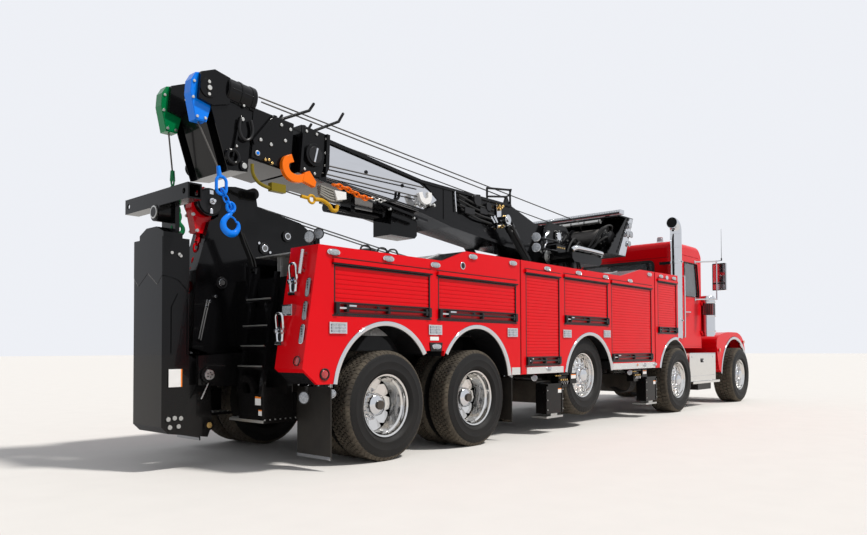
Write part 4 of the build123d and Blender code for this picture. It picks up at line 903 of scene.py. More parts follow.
def addHoledDisc(shape, centre, side, profile, inner, outer, thick):
    # A disc between two radii with a ring of round hand holes, dished by its profile
    count = wheelSettings["handHoles"]
    holeAt, holeR = wheelSettings["handHoleAt"], wheelSettings["handHoleR"]
    half = pi / count
    rim, middle, hole = [], [], []
    for k in range(16):
        corner = 2 * pi * (k + 0.5) / 16
        c, s = cos(corner), sin(corner)
        big = max(abs(c), abs(s))
        u, v = c / big, s / big
        radius = (inner + outer) / 2 + u * (outer - inner) / 2
        rim.append((radius * cos(v * half), radius * sin(v * half)))
        middle.append((holeAt + 1.22 * holeR * c, 1.22 * holeR * s))
        hole.append((holeAt + holeR * c, holeR * s))
    for copy in range(count):
        turn = 2 * half * copy
        layers = []
        for points, sink in ((rim, 0.0), (middle, 0.0), (hole, 0.002), (hole, thick), (rim, thick)):
            layer = []
            for x, z in points:
                radius = hypot(x, z)
                o = discHeight(profile, radius) - sink
                px, pz = x * cos(turn) - z * sin(turn), x * sin(turn) + z * cos(turn)
                layer.append(shape.verts.new(centre + Vector((px, side * o, pz))))
            layers.append(layer)
        for a, b in zip(layers, layers[1:]):
            for k in range(16):
                j = (k + 1) % 16
                shape.faces.new((a[k], a[j], b[j], b[k]))


def addNuts(shape, centre, side, circle, base, height, slot):
    # Chrome nut covers round the hub
    one = bmesh.new()
    addLathe(one, [(0.0205, base), (0.0205, base + 0.006), (0.0165, base + 0.01),
                   (0.0155, base + height - 0.016), (0.009, base + height),
                   (0.0005, base + height + 0.003)], (circle, 0, 0), (0, side, 0), 6)
    copiesOf(one, "ring", "chrome", slot, centre, shape, Count=wheelSettings["nuts"])


rimShapes = {
    # Radii with places across: the barrel's from the rim's edge inward, the hub's from the nut base
    "drive": {
        "rear": 0.262,
        "barrel": ((0.281, 0.008), (0.276, 0.024), (0.272, 0.05), (0.259, 0.066), (0.258, 0.13),
                   (0.254, 0.19), (0.262, 0.2)),
        "disc": ((0.1, -0.14), (0.165, -0.146), (0.215, -0.142), (0.238, -0.128), (0.256, -0.1)),
        "discOuter": 0.257, "nutBase": -0.142, "hubSides": 12,
        "hub": ((0.118, -0.01), (0.118, 0.012), (0.112, 0.02), (0.109, 0.112), (0.104, 0.128), (0.088, 0.142),
                (0.045, 0.152), (0.0005, 0.155)),
    },
    "steer": {
        "rear": 0.255,
        "barrel": ((0.282, 0.01), (0.277, 0.03), (0.268, 0.05), (0.262, 0.06), (0.258, 0.1598)),
        "disc": ((0.1, 0.118), (0.165, 0.112), (0.215, 0.108), (0.24, 0.098), (0.262, 0.074)),
        "discOuter": 0.262, "nutBase": 0.112, "hubSides": 40,
        "hub": ((0.11, -0.01), (0.11, 0.01), (0.094, 0.018), (0.086, 0.03), (0.084, 0.055), (0.07, 0.068),
                (0.035, 0.073), (0.0005, 0.074)),
    },
}


def wheelRim(name, centre, side, body, kind):
    # The outer wheel of a drive pair is deep; single wheels have their disc near the face
    rim = rimShapes[kind]
    edge = wheelSettings[kind + "Half"] - 0.0327
    flange, bead = wheelSettings["flange"], wheelSettings["bead"]
    barrel = [(rim["rear"], -edge), (flange, -edge), (flange, 0.012 - edge), (bead, 0.012 - edge)]
    lip = ((bead, 0.012), (flange - 0.002, 0.012), (flange, 0.006), (flange - 0.002, 0.0), (0.292, 0.001))
    barrel += [(r, edge - o) for r, o in lip + rim["barrel"]]
    shape = bmesh.new()
    addLathe(shape, [(r, side * o) for r, o in barrel], centre, (0, 1, 0), 72, 0, closed=True)
    addHoledDisc(shape, centre, side, rim["disc"], 0.1, rim["discOuter"], 0.014)
    back = min(o for r, o in rim["disc"]) - 0.05
    # A near-black disc behind the hand holes: painted shade seen through them
    holeShadeDisc = [(0.255, back), (0.255, back - 0.004), (0.05, back - 0.004), (0.05, back)]
    addLathe(shape, holeShadeDisc, centre, (0, side, 0), 48, 2, closed=True)
    base = rim["nutBase"]
    addNuts(shape, centre, side, wheelSettings["nutCircle"], base, 0.036, 1)
    addLathe(shape, [(r, base + o) for r, o in rim["hub"]], centre, (0, side, 0), rim["hubSides"], 1)
    makePiece(name, shape, ("polishedAlloy", "chrome", "darkHole"), body, angle=30)


wheelPlaces = (
    # number, x, z, tyre face y, kind
    (1, 9.8, 0.53, 1.305, "steer"), (2, 6.76, 0.53, 1.305, "steer"), (3, 3.745, 0.695, 1.23, "steer"),
    (4, 1.34, 0.52, 1.262, "drive"), (5, -0.015, 0.52, 1.262, "drive"),
)


def makeWheels():
    for number, x, z, face, kind in wheelPlaces:
        for sideName, side in (("left", 1), ("right", -1)):
            body = "wheel_%d_%s" % (number, sideName)
            half = wheelSettings[kind + "Half"]
            centre = Vector((x, side * (face - half), z))
            tyres = bmesh.new()
            addTyre(tyres, centre, kind, 0.0)
            if kind == "drive":
                innerCentre = centre - Vector((0, side * wheelSettings["dualPitch"], 0))
                addTyre(tyres, innerCentre, kind, 0.37)
                for inner, outer, low, high, sides in ((0.2, 0.29, -0.1, 0.1, 48),
                                                       (0.05, 0.2, -0.16, -0.12, 32)):
                    section = [(inner, low), (outer, low), (outer, high), (inner, high)]
                    addLathe(tyres, section, innerCentre, (0, 1, 0), sides, 2, closed=True)
            tyrePiece = makePiece("tyres_%d_%s" % (number, sideName), tyres,
                                  ("tyreRubber", "treadRubber", "chassisPaint"), body, angle=40)
            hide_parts(body)
            wheelRim("rim_%d_%s" % (number, sideName), centre, side, body, kind)


# Body sides: slatted shutters, lift bars, lamps, arch trims, kick strips and seams
bodySettings = {
    "half": 1.295, "slatPitch": 0.0375, "slatDeep": 0.006, "shutterFace": 1.286,
    # rear x, front x, lift bar low z, slats low z, slats top z
    "doors": ((-0.722, 0.534, 1.368, 1.459, 1.788), (0.656, 2.038, 1.366, 1.456, 1.786),
              (2.238, 2.996, 0.866, 0.95, 1.94), (3.115, 4.283, 1.388, 1.474, 1.952),
              (4.387, 5.703, 0.884, 0.974, 1.965), (5.939, 6.671, 1.31, 1.388, 2.106)),
    "ovals": ((-0.733, 1.895), (-0.061, 1.9), (0.607, 1.9), (1.222, 2.042), (1.968, 2.04), (2.704, 2.038),
              (3.464, 2.045), (4.206, 2.049), (4.957, 2.046), (5.626, 2.194), (6.05, 2.196), (6.56, 2.2)),
    "squares": ((-0.68, 1.239), (0.604, 1.246), (1.952, 1.24), (3.167, 1.245), (4.234, 1.258)),
    "arches": ((-0.08, 0.656, 0.66), (1.3, 0.687, 0.628), (3.77, 0.604, 0.67), (6.62, 0.58, 0.66)),
    # arch trims: arch number, first and last angle in degrees
    "trims": ((0, 33.5, 171.6), (1, 5.9, 149.1), (2, 13.3, 166.7), (3, 82.0, 165.1)),
    "kickStrips": ((2.245, 3.07, 0.753, 0.833), (4.416, 5.813, 0.753, 0.842), (1.94, 2.106, 0.753, 0.838)),
    "seams": (2.123, 5.82),
}


def slatSection():
    # One slat across its height: a bulged face with a groove at its top and foot
    p, d = bodySettings["slatPitch"], bodySettings["slatDeep"]
    return [(0.01, 0.0), (d, 0.0005), (0.001, 0.0035), (0.0, p * 0.3), (0.0, p * 0.7), (0.001, p - 0.0035),
            (d, p - 0.0005), (0.01, p)]


def makeShutters():
    shape = bmesh.new()
    face = bodySettings["shutterFace"]
    for rear, front, barLow, low, top in bodySettings["doors"]:
        count = int((top - low) / bodySettings["slatPitch"])
        slat = bmesh.new()
        addPrism(slat, slatSection(), "x", rear, front)
        copiesOf(slat, "row", "redPaint", 0, (0, -face, low), shape, Count=count,
                 Step=(0, 0, (top - low) / count))
        addBox(shape, rear, front, -face + 0.005, -face + 0.014, low, top, 0)
        addBox(shape, rear, front, -1.283, -1.27, barLow, low, 1)
    piece = makePiece("roller_shutters", shape, ("redPaint", "darkRedPaint"), "truck", True)
    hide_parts("shutters")


def makeDoorFrames():
    # Frames, drip rails and sills round the shutters
    overlap, backY = 0.02, -1.27
    frames = bmesh.new()
    half = bodySettings["half"]
    for rear, front, barLow, slatLow, top in bodySettings["doors"]:
        for x in (rear, front - 0.014):
            addBox(frames, x, x + 0.014, -half - 0.002, backY, slatLow, top, 0)
        addBox(frames, rear, front, -half - 0.001, backY, top - 0.012, top, 0)
        # The second row is a black strip under the red drip rail: painted shadow of the rail
        for out, low, high, slot in ((0.026, 0.018, 0.052, 1), (0.02, 0.004, 0.018, 0),
                                     (0.007, 0.062, 0.068, 0)):
            addBox(frames, rear - overlap, front + overlap, -half - out, -half + 0.002, top + low,
                   top + high, slot)
        for z in (barLow - 0.012, slatLow - 0.006):
            addBox(frames, rear, front, -half - 0.006, -1.272, z, z + 0.014, 0)
        addBox(frames, rear - overlap, front + overlap, -half - 0.004, -half + 0.002, barLow - 0.026,
               barLow - 0.014, 0)
    makePiece("door_frames", frames, ("blackLacquer", "redPaint"), "truck", True, 0.0015)


def makeLiftBars():
    # A chrome bar with lugs and a lock below each shutter
    half = bodySettings["half"]
    bars = bmesh.new()
    for rear, front, barLow, low, top in bodySettings["doors"]:
        middle = (barLow + low) / 2
        y = -half - 0.017
        addRod(bars, (rear + 0.02, y, middle), (front - 0.02, y, middle), 0.0105, 1, 16)
        addRod(bars, (rear + 0.03, y, middle), (rear + (front - rear) * 0.1, y, middle), 0.0112, 0, 16)
        spots = (rear + 0.022, rear + (front - rear) * 0.11, rear + (front - rear) * 0.52, front - 0.075,
                 front - 0.024)
        for i, x in enumerate(spots):
            wide = 0.02 if i in (0, 4) else 0.015
            tall = 0.047 if i in (0, 4) else 0.032
            addBox(bars, x - wide, x + wide, -half - 0.03, -half + 0.01, middle - tall, middle + tall, 1)
        addRod(bars, (rear + (front - rear) * 0.42, -half - 0.001, middle + 0.015),
               (rear + (front - rear) * 0.42, -half - 0.014, middle + 0.015), 0.017, 1, 18)
        addBox(bars, rear + (front - rear) * 0.14, rear + (front - rear) * 0.21, -half - 0.004,
               -half + 0.01, middle + 0.016, middle + 0.034, 0)
    makePiece("lift_bars", bars, ("chrome", "blackLacquer"), "truck", True, 0.002)


def addOval(shape, x, y, z, a, b, depth, slotRim, slotLens, outward):
    # A chrome-rimmed oval lamp standing off the skin
    rings = []
    for scale, out in ((1.0, -0.004), (1.0, depth * 0.55), (0.9, depth * 0.85), (0.8, depth * 0.62)):
        rings.append([shape.verts.new((x + a * scale * c, y + outward * out, z + b * scale * s))
                      for c, s in circle(32)])
    addFaces(shape, rings, True, False, slotRim)
    lens = []
    for k in range(5):
        scale = 0.8 * cos(pi / 2 * k / 5)
        out = depth * (0.62 + 0.45 * sin(pi / 2 * k / 5))
        lens.append([shape.verts.new((x + a * scale * c, y + outward * out, z + b * scale * s))
                     for c, s in circle(32)])
    addFaces(shape, lens, True, False, slotLens)
    top = shape.faces.new(lens[-1])
    top.material_index = slotLens
    bottom = shape.faces.new(list(reversed(rings[0])))
    bottom.material_index = slotRim


def addSquareLamp(shape, x, y, z, halfX, halfZ, outward):
    outline = roundedRect(halfX, halfZ, halfZ * 0.35)
    rings = []
    for scale, out in ((1.0, -0.004), (1.0, 0.01), (0.93, 0.016), (0.84, 0.013)):
        rings.append([shape.verts.new((x + a * scale, y + outward * out, z + b * scale)) for a,
                      b in outline])
    addFaces(shape, rings, True, True, 0)
    for row in (-1, 0, 1):
        for column in (-1, 1):
            cx, cz = x + column * halfX * 0.41, z + row * halfZ * 0.5
            points = [(cx + a, cz + b) for a, b in roundedRect(halfX * 0.38, halfZ * 0.21, halfZ * 0.08, 3)]
            low, high = sorted((y + outward * 0.01, y + outward * 0.019))
            addPrism(shape, points, "y", low, high, 1)


def makeSideLamps():
    # Oval and square lamps along the side
    shape = bmesh.new()
    y = -bodySettings["half"]
    for x, z in bodySettings["ovals"]:
        addOval(shape, x, y, z, 0.074, 0.032, 0.022, 0, 1, -1)
    for x, z in bodySettings["squares"]:
        addSquareLamp(shape, x, y, z, 0.098, 0.052, -1)
    for x in (2.73, 5.43, 5.86 - 0.07):
        addOval(shape, x, y - 0.004, 0.808, 0.058, 0.024, 0.018, 0, 1, -1)
    addOval(shape, 5.18, y - 0.004, 0.808, 0.03, 0.02, 0.014, 0, 2, -1)
    addOval(shape, 0.612, y - 0.012, 1.077, 0.066, 0.03, 0.018, 0, 1, -1)
    makePiece("side_lamps", shape, ("chrome", "clearLens", "amberLens"), "truck", True, angle=30)


def makeSidePlates():
    # A label holder, a blank badge and the round lamp at the rear
    box = bmesh.new()
    addPrism(box, [(0.52, 1.118), (0.712, 1.118), (0.7, 1.03), (0.535, 1.03)], "y", -1.307, -1.29, 0)
    addBox(box, 0.53, 0.66, -1.3, -1.29, 1.138, 1.176, 1)
    badge = (1.054, -1.295, 1.932)
    addLathe(box, [(0.04, -0.002), (0.04, 0.006), (0.03, 0.008), (0.03, -0.002)], badge, (0, -1, 0), 36,
             2, closed=True)
    addRod(box, (1.054, -1.293, 1.932), (1.054, -1.301, 1.932), 0.031, 0, 32)
    addLathe(box, [(0.052, -0.002), (0.052, 0.012), (0.043, 0.014), (0.04, 0.006), (0.04, -0.002)],
             (-0.829, -1.295, 0.838), (0, -1, 0), 28, 0, closed=True)
    addDome(box, (-0.829, -1.299, 0.838), (0, -1, 0), 0.04, 0.012, 3, base=0.002)
    makePiece("side_plates", box, ("blackLacquer", "whitePlate", "chrome", "redLens"), "truck",
              True, 0.0012)


def addArchTrim(shape, x, z, radius, start, end, y, slot=0):
    # A rounded chrome lip just inside an arch's edge, standing a little proud of the skin
    section = [(0.0, 0.012), (0.001, -0.006), (-0.006, -0.014), (-0.02, -0.016), (-0.038, -0.013),
               (-0.049, -0.004), (-0.05, 0.012)]
    rings = []
    for i in range(57):
        angle = radians(start + (end - start) * i / 56)
        rings.append([shape.verts.new((x + (radius + a) * cos(angle), y + b, z + (radius + a) * sin(angle)))
                      for a, b in section])
    addFaces(shape, rings, True, True, slot)


def makeArchTrims():
    shape = bmesh.new()
    for arch, start, end in bodySettings["trims"]:
        x, z, radius = bodySettings["arches"][arch]
        addArchTrim(shape, x, z, radius, start, end, -bodySettings["half"])
    makePiece("arch_trims", shape, ("chrome",), "truck", True, angle=50)


def makeKickStrips():
    # Tread plate strips at the body's foot
    shape = bmesh.new()
    for rear, front, low, high in bodySettings["kickStrips"]:
        addBox(shape, rear, front, -1.302, -1.29, low, high, 0)
    makePiece("kick_strips", shape, ("treadSide",), "truck", True, 0.002)


def makeSeams():
    # Dark seams with a raised red edge
    seams = bmesh.new()
    for x in bodySettings["seams"]:
        top = 2.095 if x < 3 else 2.245
        addBox(seams, x - 0.005, x + 0.003, -1.2965, -1.28, 0.755, top, 0)
        addBox(seams, x + 0.006, x + 0.038, -1.303, -1.29, 0.77, top, 1)
    makePiece("body_seams", seams, ("darkHole", "redPaint"), "truck", True, 0.002)


# Small shared builders for lamps, bolts, hooks and decals
def addBolts(shape, places, axis, face, radius=0.018, height=0.012, slot=0, sides=6):
    # Bolt heads on a face square to one axis; places are the other two coordinates
    for a, b in places:
        addRod(shape, placed(axis, a, b, face), placed(axis, a, b, face + height), radius, slot, sides)


def addRoundLamp(shape, centre, axis, radius, depth, rimSlot=0, lensSlot=1):
    # A bowl behind, a rim and a domed lens in front
    centre, axis = Vector(centre), Vector(axis).normalized()
    bowl = [(0.001, -depth), (radius * 0.55, -depth), (radius * 0.92, -depth * 0.35), (radius, -0.004),
            (radius, 0.004), (radius * 0.9, 0.006), (radius * 0.88, 0.0), (0.001, 0.0)]
    addLathe(shape, bowl, centre, axis, 24, rimSlot)
    addDome(shape, centre + axis * 0.001, axis, radius * 0.87, 0.008, lensSlot, 24, 3)


def addDecal(shape, corner, across, up, width, height, thick=0.0015, whiteSlot=0, edgeSlot=1):
    # A blank white plate with a coloured band along its top
    corner, across, up = Vector(corner), Vector(across).normalized(), Vector(up).normalized()
    out = across.cross(up).normalized()
    for low, high, slot in ((0.0, 0.78, whiteSlot), (0.78, 1.0, edgeSlot)):
        base = [corner + up * height * low, corner + across * width + up * height * low,
                corner + across * width + up * height * high, corner + up * height * high]
        rings = [[shape.verts.new(p + out * t) for p in base] for t in (0.0, thick)]
        addFaces(shape, rings, True, True, slot)


def addTaper(shape, points, radii, normal, slot=0, sides=10):
    # A rounded bar that lies in one plane and swells along its length
    rings = []
    last = len(points) - 1
    for i, point in enumerate(points):
        run = (points[min(i + 1, last)] - points[max(i - 1, 0)]).normalized()
        across = run.cross(normal).normalized()
        share = i / last * (len(radii) - 1)
        low = min(int(share), len(radii) - 2)
        radius = radii[low] + (radii[low + 1] - radii[low]) * (share - low)
        rings.append([shape.verts.new(point + (across * c + normal * 0.75 * s) * radius)
                      for c, s in circle(sides)])
    addFaces(shape, rings, True, True, slot)


def addHook(shape, top, size, side=(1, 0, 0), slot=0):
    # A forged sling hook: an eye, a tapered body and a latch across its mouth; side is where it opens
    top, side = Vector(top), Vector(side).normalized()
    down = Vector((0, 0, -1))
    normal = side.cross(down).normalized()
    ring = [top + side * 0.13 * size * c + down * (0.14 * size + 0.14 * size * s) for c, s in circle(18)]
    addTube(shape, ring, 0.052 * size, slot, 8, closed=True)
    line = [(0.0, 0.27), (-0.02, 0.36), (-0.15, 0.47), (-0.25, 0.62), (-0.23, 0.8), (-0.06, 0.93),
            (0.14, 0.91), (0.26, 0.76), (0.27, 0.62), (0.22, 0.54)]
    hook = smoothPath([top + side * a * size + down * b * size for a, b in line], 4)
    radii = [k * size for k in (0.06, 0.07, 0.085, 0.1, 0.11, 0.115, 0.105, 0.08, 0.055, 0.035)]
    addTaper(shape, hook, radii, normal, slot, 12)
    latch = [top + side * a * size + down * b * size for a, b in ((-0.05, 0.42), (0.1, 0.45), (0.21, 0.58))]
    addSmooth(shape, latch, 3, 0.03 * size, slot, 8)


def addRingAround(shape, centre, normal, radius, wire, slot=0, count=24):
    side, top = sideDirections(Vector(normal).normalized())
    centre = Vector(centre)
    addTube(shape, [centre + side * radius * c + top * radius * s for c, s in circle(count)], wire, slot,
            8, closed=True)


# The tail: lamps, shackles, ladders, steps and decals
tailSettings = {
    "faceTop": (-0.894, 1.95), "faceLow": (-1.066, 0.887), "uprightLamps": (1.18, 1.378, 1.578),
    "lampY": 1.24, "lampHalf": 0.085, "lampR": 0.03, "roundLamp": (1.224, 0.953, 0.043),
    "squareLamp": (1.034, 1.391, 0.07, 0.048), "sideRound": (-0.829, 0.838, 0.04),
    "grabBar": (1.15, 1.7, 1.91), "shackles": ((1.045, 1.66), (0.95, 1.23)),
    "workLamps": ((-0.9, 1.19, 2.02), (-0.94, 1.17, 0.64)),
}


def faceX(z):
    (topX, topZ), (lowX, lowZ) = tailSettings["faceTop"], tailSettings["faceLow"]
    return lowX + (z - lowZ) * (topX - lowX) / (topZ - lowZ)


def makeTailLamps():
    t = tailSettings
    shape = bmesh.new()
    lean = Vector((faceX(2.0) - faceX(1.0), 0, 1)).normalized()
    out = Vector((-lean.z, 0, lean.x))
    for z in t["uprightLamps"]:
        middle = Vector((faceX(z), -t["lampY"], z))
        for scale, depth, slot in ((1.0, 0.008, 0), (0.82, 0.013, 1)):
            outline = roundedRect(t["lampR"] * scale, t["lampHalf"] - t["lampR"] * (1 - scale),
                                  t["lampR"] * scale * 0.98, 6)
            rings = [[shape.verts.new(middle + Vector((0, a, 0)) + lean * b + out * d) for a, b in outline]
                     for d in (-0.002, depth)]
            addFaces(shape, rings, True, True, slot)
        addBolts(shape, [(-t["lampY"], z + step * 0.022) for step in range(-3, 4)], "x",
                 faceX(z) - 0.0165, 0.008, 0.004, 2, 10)
    y, z, radius = t["roundLamp"]
    addRoundLamp(shape, Vector((faceX(z), -y, z)) + out * 0.0145, out, radius, 0.012, 3, 4)
    y, z, halfY, halfZ = t["squareLamp"]
    x = faceX(z)
    addBox(shape, x - 0.045, x + 0.01, -y - halfY, -y + halfY, z - halfZ, z + halfZ, 0)
    addBox(shape, x - 0.049, x - 0.04, -y - halfY * 0.8, -y + halfY * 0.8, z - halfZ * 0.75,
           z + halfZ * 0.75, 1)
    x, z, radius = t["sideRound"]
    addRoundLamp(shape, (x, -1.2965, z), (0, -1, 0), radius, 0.006, 3, 4)
    makePiece("tail_lamps", shape, ["chrome", "clearLens", "blackLacquer", "blackLacquer", "redLens"],
              "truck", bothSides=True, bevel=0.002)


def makeShackleHolders():
    # Chrome holders on the rear face, each with a bow, a cross pin and a clevis below
    t = tailSettings
    shape = bmesh.new()
    for y, z in t["shackles"]:
        x = faceX(z) - 0.03
        bow = [Vector((x - 0.1 * b, -y + a, z + 0.055 + b)) for a, b in roundedRect(0.046, 0.08, 0.036, 5)]
        addTube(shape, bow, 0.0125, 0, 10, closed=True)
        addRod(shape, (x, -y - 0.066, z - 0.02), (x, -y + 0.066, z - 0.02), 0.014, 0, 14)
        for a in (-0.04, 0.04):
            addRod(shape, (x, -y + a - 0.011, z - 0.02), (x, -y + a + 0.011, z - 0.02), 0.026, 0, 18)
            addTaper(shape, [Vector((x, -y + a, z - 0.02)), Vector((x, -y + a * 0.9, z - 0.075)),
                             Vector((x, -y + a * 0.7, z - 0.125))], (0.016, 0.013, 0.018),
                     Vector((1, 0, 0)), 0, 8)
        addRod(shape, (x, -y - 0.048, z - 0.125), (x, -y + 0.048, z - 0.125), 0.02, 0, 14)
        addBox(shape, x - 0.004, x + 0.034, -y - 0.02, -y + 0.02, z - 0.1, z + 0.02, 0)
        addBox(shape, x + 0.01, x + 0.045, -y - 0.034, -y + 0.034, z - 0.165, z - 0.135, 0)
    makePiece("shackle_holders", shape, ["chrome"], "truck", bothSides=True)


def makeTailGear():
    t = tailSettings
    shape = bmesh.new()
    y, low, high = t["grabBar"]
    addRod(shape, (faceX(low) - 0.045, -y, low), (faceX(high) - 0.045, -y, high), 0.017, 0, 16)
    for z in (low + 0.03, high - 0.03):
        addRod(shape, (faceX(z) - 0.045, -y, z), (faceX(z) + 0.01, -y, z), 0.012, 0, 12)
    for x, y, z in t["workLamps"]:
        addRoundLamp(shape, (x - 0.01, -y, z), (-1, -0.3, 0), 0.058, 0.055, 1, 2)
        addRod(shape, (x + 0.02, -y, z + (0.05 if z < 1 else -0.05)),
               (x + 0.02, -y, z + (0.1 if z < 1 else -0.09)), 0.012, 1, 10)
    for y in (0.37, 0.455):
        addTube(shape, [(-0.975, -y, 1.5), (-0.935, -y, 1.8)], 0.012, 3, 8)
    makePiece("tail_gear", shape, ["satinAlloy", "blackLacquer", "clearLens", "blackPaint"], "truck",
              bothSides=True)


def makeTailSteps():
    # Ladder edges, a grating step with teeth, a tow ring and blank decals
    stepZ, decalX = 0.422, -1.1078
    shape = bmesh.new()
    for y in (0.43, 0.76):
        addTube(shape, [(-1.116, -y - 0.02, 0.67), (-0.951, -y - 0.02, 1.735)], 0, 0, 4,
                flat=(0.022, 0.006))
    for z in (0.88, 1.06, 1.24, 1.48):
        x = -1.108 + (z - 0.64) * 0.17 / 1.11
        addRod(shape, (x - 0.045, -0.795, z + 0.026), (x - 0.045, -0.435, z + 0.026), 0.007, 1, 8)
    tooth = bmesh.new()
    addBox(tooth, -0.008, 0.008, -0.012, 0.012, 0, 0.012)
    for x in (-1.085, -1.03, -0.975, -0.92, -0.865, -0.81, -0.755):
        copiesOf(tooth.copy(), "row", "zincSteel", 1, (x, -0.79, 0.43), into=shape, Count=16,
                 Step=(0, 0.032, 0))
    tooth.free()
    addTube(shape, [(-1.106, -0.81, stepZ), (-1.106, -0.29, stepZ)], 0, 1, 4, flat=(0.006, 0.012))
    ring = [(0.062, -0.02), (0.118, -0.02), (0.118, 0.02), (0.062, 0.02)]
    addLathe(shape, ring, (-1.098, -0.565, 0.712), (1, 0.0, 0.25), 28, 0, closed=True)
    addBox(shape, -1.1, -1.05, -0.6, -0.53, 0.6, 0.665, 0)
    addDecal(shape, (decalX, -0.69, 0.565), (0, -1, 0), (0, 0, 1), 0.085, 0.075, 0.001, 2, 3)
    addDecal(shape, (decalX, -0.8 + 0.06, 0.475), (0, -1, 0), (0, 0, 1), 0.05, 0.05, 0.001, 2, 3)
    makePiece("tail_steps", shape, ["blackPaint", "zincSteel", "whitePlate", "orangePlate"], "truck",
              bothSides=True)


def makeTailStrap():
    # The black strap from the hook down to the post
    shape = bmesh.new()
    addSmooth(shape, [(-1.075, -0.392, 2.13), (-1.03, -0.395, 2.02), (-0.975, -0.398, 1.9),
                      (-0.94, -0.4, 1.775)], 5, 0, 0, 4, flat=(0.03, 0.006))
    addSmooth(shape, [(-1.04, -0.38, 2.12), (-0.985, -0.385, 2.0), (-0.925, -0.39, 1.88),
                      (-0.905, -0.396, 1.775)], 5, 0, 0, 4, flat=(0.024, 0.006))
    makePiece("tail_strap", shape, ["flapRubber"], "truck")


def makeMast():
    wheelX, wheelZ = -1.216, 2.424
    shape = bmesh.new()
    for side in (-1, 1):
        y = 0.121 * side
        for radius, depth, slot in ((0.115, 0.012, 0), (0.03, 0.05, 1), (0.016, 0.085, 1)):
            addPin(shape, wheelX, y, wheelZ, depth * side, radius, slot, 32)
        addBox(shape, -1.235, -1.197, *sorted((y, y + 0.03 * side)), 2.49, 2.53, 1)
        addBox(shape, -1.23, -1.202, *sorted((y, y + 0.03 * side)), 2.31, 2.36, 1)
        addPins(shape, ((-0.346, 2.204), (-0.623, 2.053), (-1.096, 1.679)), y,
                (0.018 * side, 0.056, 0, 28), (0.026 * side, 0.036, 1, 24), (0.03 * side, 0.024, 2, 20))
        addPins(shape, ((-0.55, 2.02), (-0.68, 2.1)), y, (0.01 * side, 0.014, 1, 12))
        for a, b in (((-1.25, 1.5), (-1.33, 1.15)), ((-1.23, 1.49), (-1.31, 1.14))):
            addTube(shape, [(a[0], y + 0.008 * side, a[1]), (b[0], y + 0.008 * side, b[1])], 0.008, 2, 8)
        addPins(shape, ((-1.245, 1.5), (-1.255, 1.45), (-1.22, 1.5), (-1.16, 1.55)), y,
                (0.02 * side, 0.014, 1, 10))
    addRod(shape, (-0.718, -0.1, 2.585), (-0.718, 0.1, 2.585), 0.055, 0, 28)
    for y in (-0.05, 0.05):
        addRod(shape, (-0.66, y, 2.47), (1.072, y, 2.236), 0.008, 2, 8)
        addRod(shape, (1.072, y, 2.236), (2.25, y, 2.104), 0.008, 2, 8)
    addRoundLamp(shape, (0.03, -0.17, 2.275), (-1, -0.5, 0), 0.062, 0.05, 0, 3)
    addRod(shape, (0.045, -0.155, 2.1), (0.045, -0.155, 2.27), 0.012, 0, 8)
    makePiece("mast_details", shape, ["blackLacquer", "chrome", "castSteel", "clearLens"], "truck",
              bevel=0.002)


def makeMastBlock():
    # Bolts and edge plates on the mast's red block
    wheelX, wheelZ = -1.216, 2.424
    shape = bmesh.new()
    for side in (-1, 1):
        y = 0.0525 * side
        places = ((-1.335, 2.46), (-1.23, 2.55), (-1.17, 2.44), (-1.2, 2.17), (-1.31, 2.155), (-1.35, 2.3))
        addPins(shape, places, y, (0.014 * side, 0.016, 1, 8))
        addPin(shape, wheelX, y, wheelZ, 0.006 * side, 0.075, 0, 28)
    addRod(shape, (-1.262, 0, 2.135), (-1.275, 0, 2.06), 0.017, 0, 12, endRadius=0.028)
    makePiece("mast_block_bolts", shape, ["blockRedPaint", "zincSteel"], "truck")


def makeMastHook():
    # The block's red chain and hook
    shape = bmesh.new()
    addChain(shape, atY(0, [(-1.275, 2.07), (-1.295, 1.93), (-1.3, 1.8)]), 0.062, "blockRedPaint")
    addHook(shape, (-1.3, 0, 1.83), 0.27, (-1, 0, 0))
    makePiece("mast_hook", shape, ["blockRedPaint"], "truck")


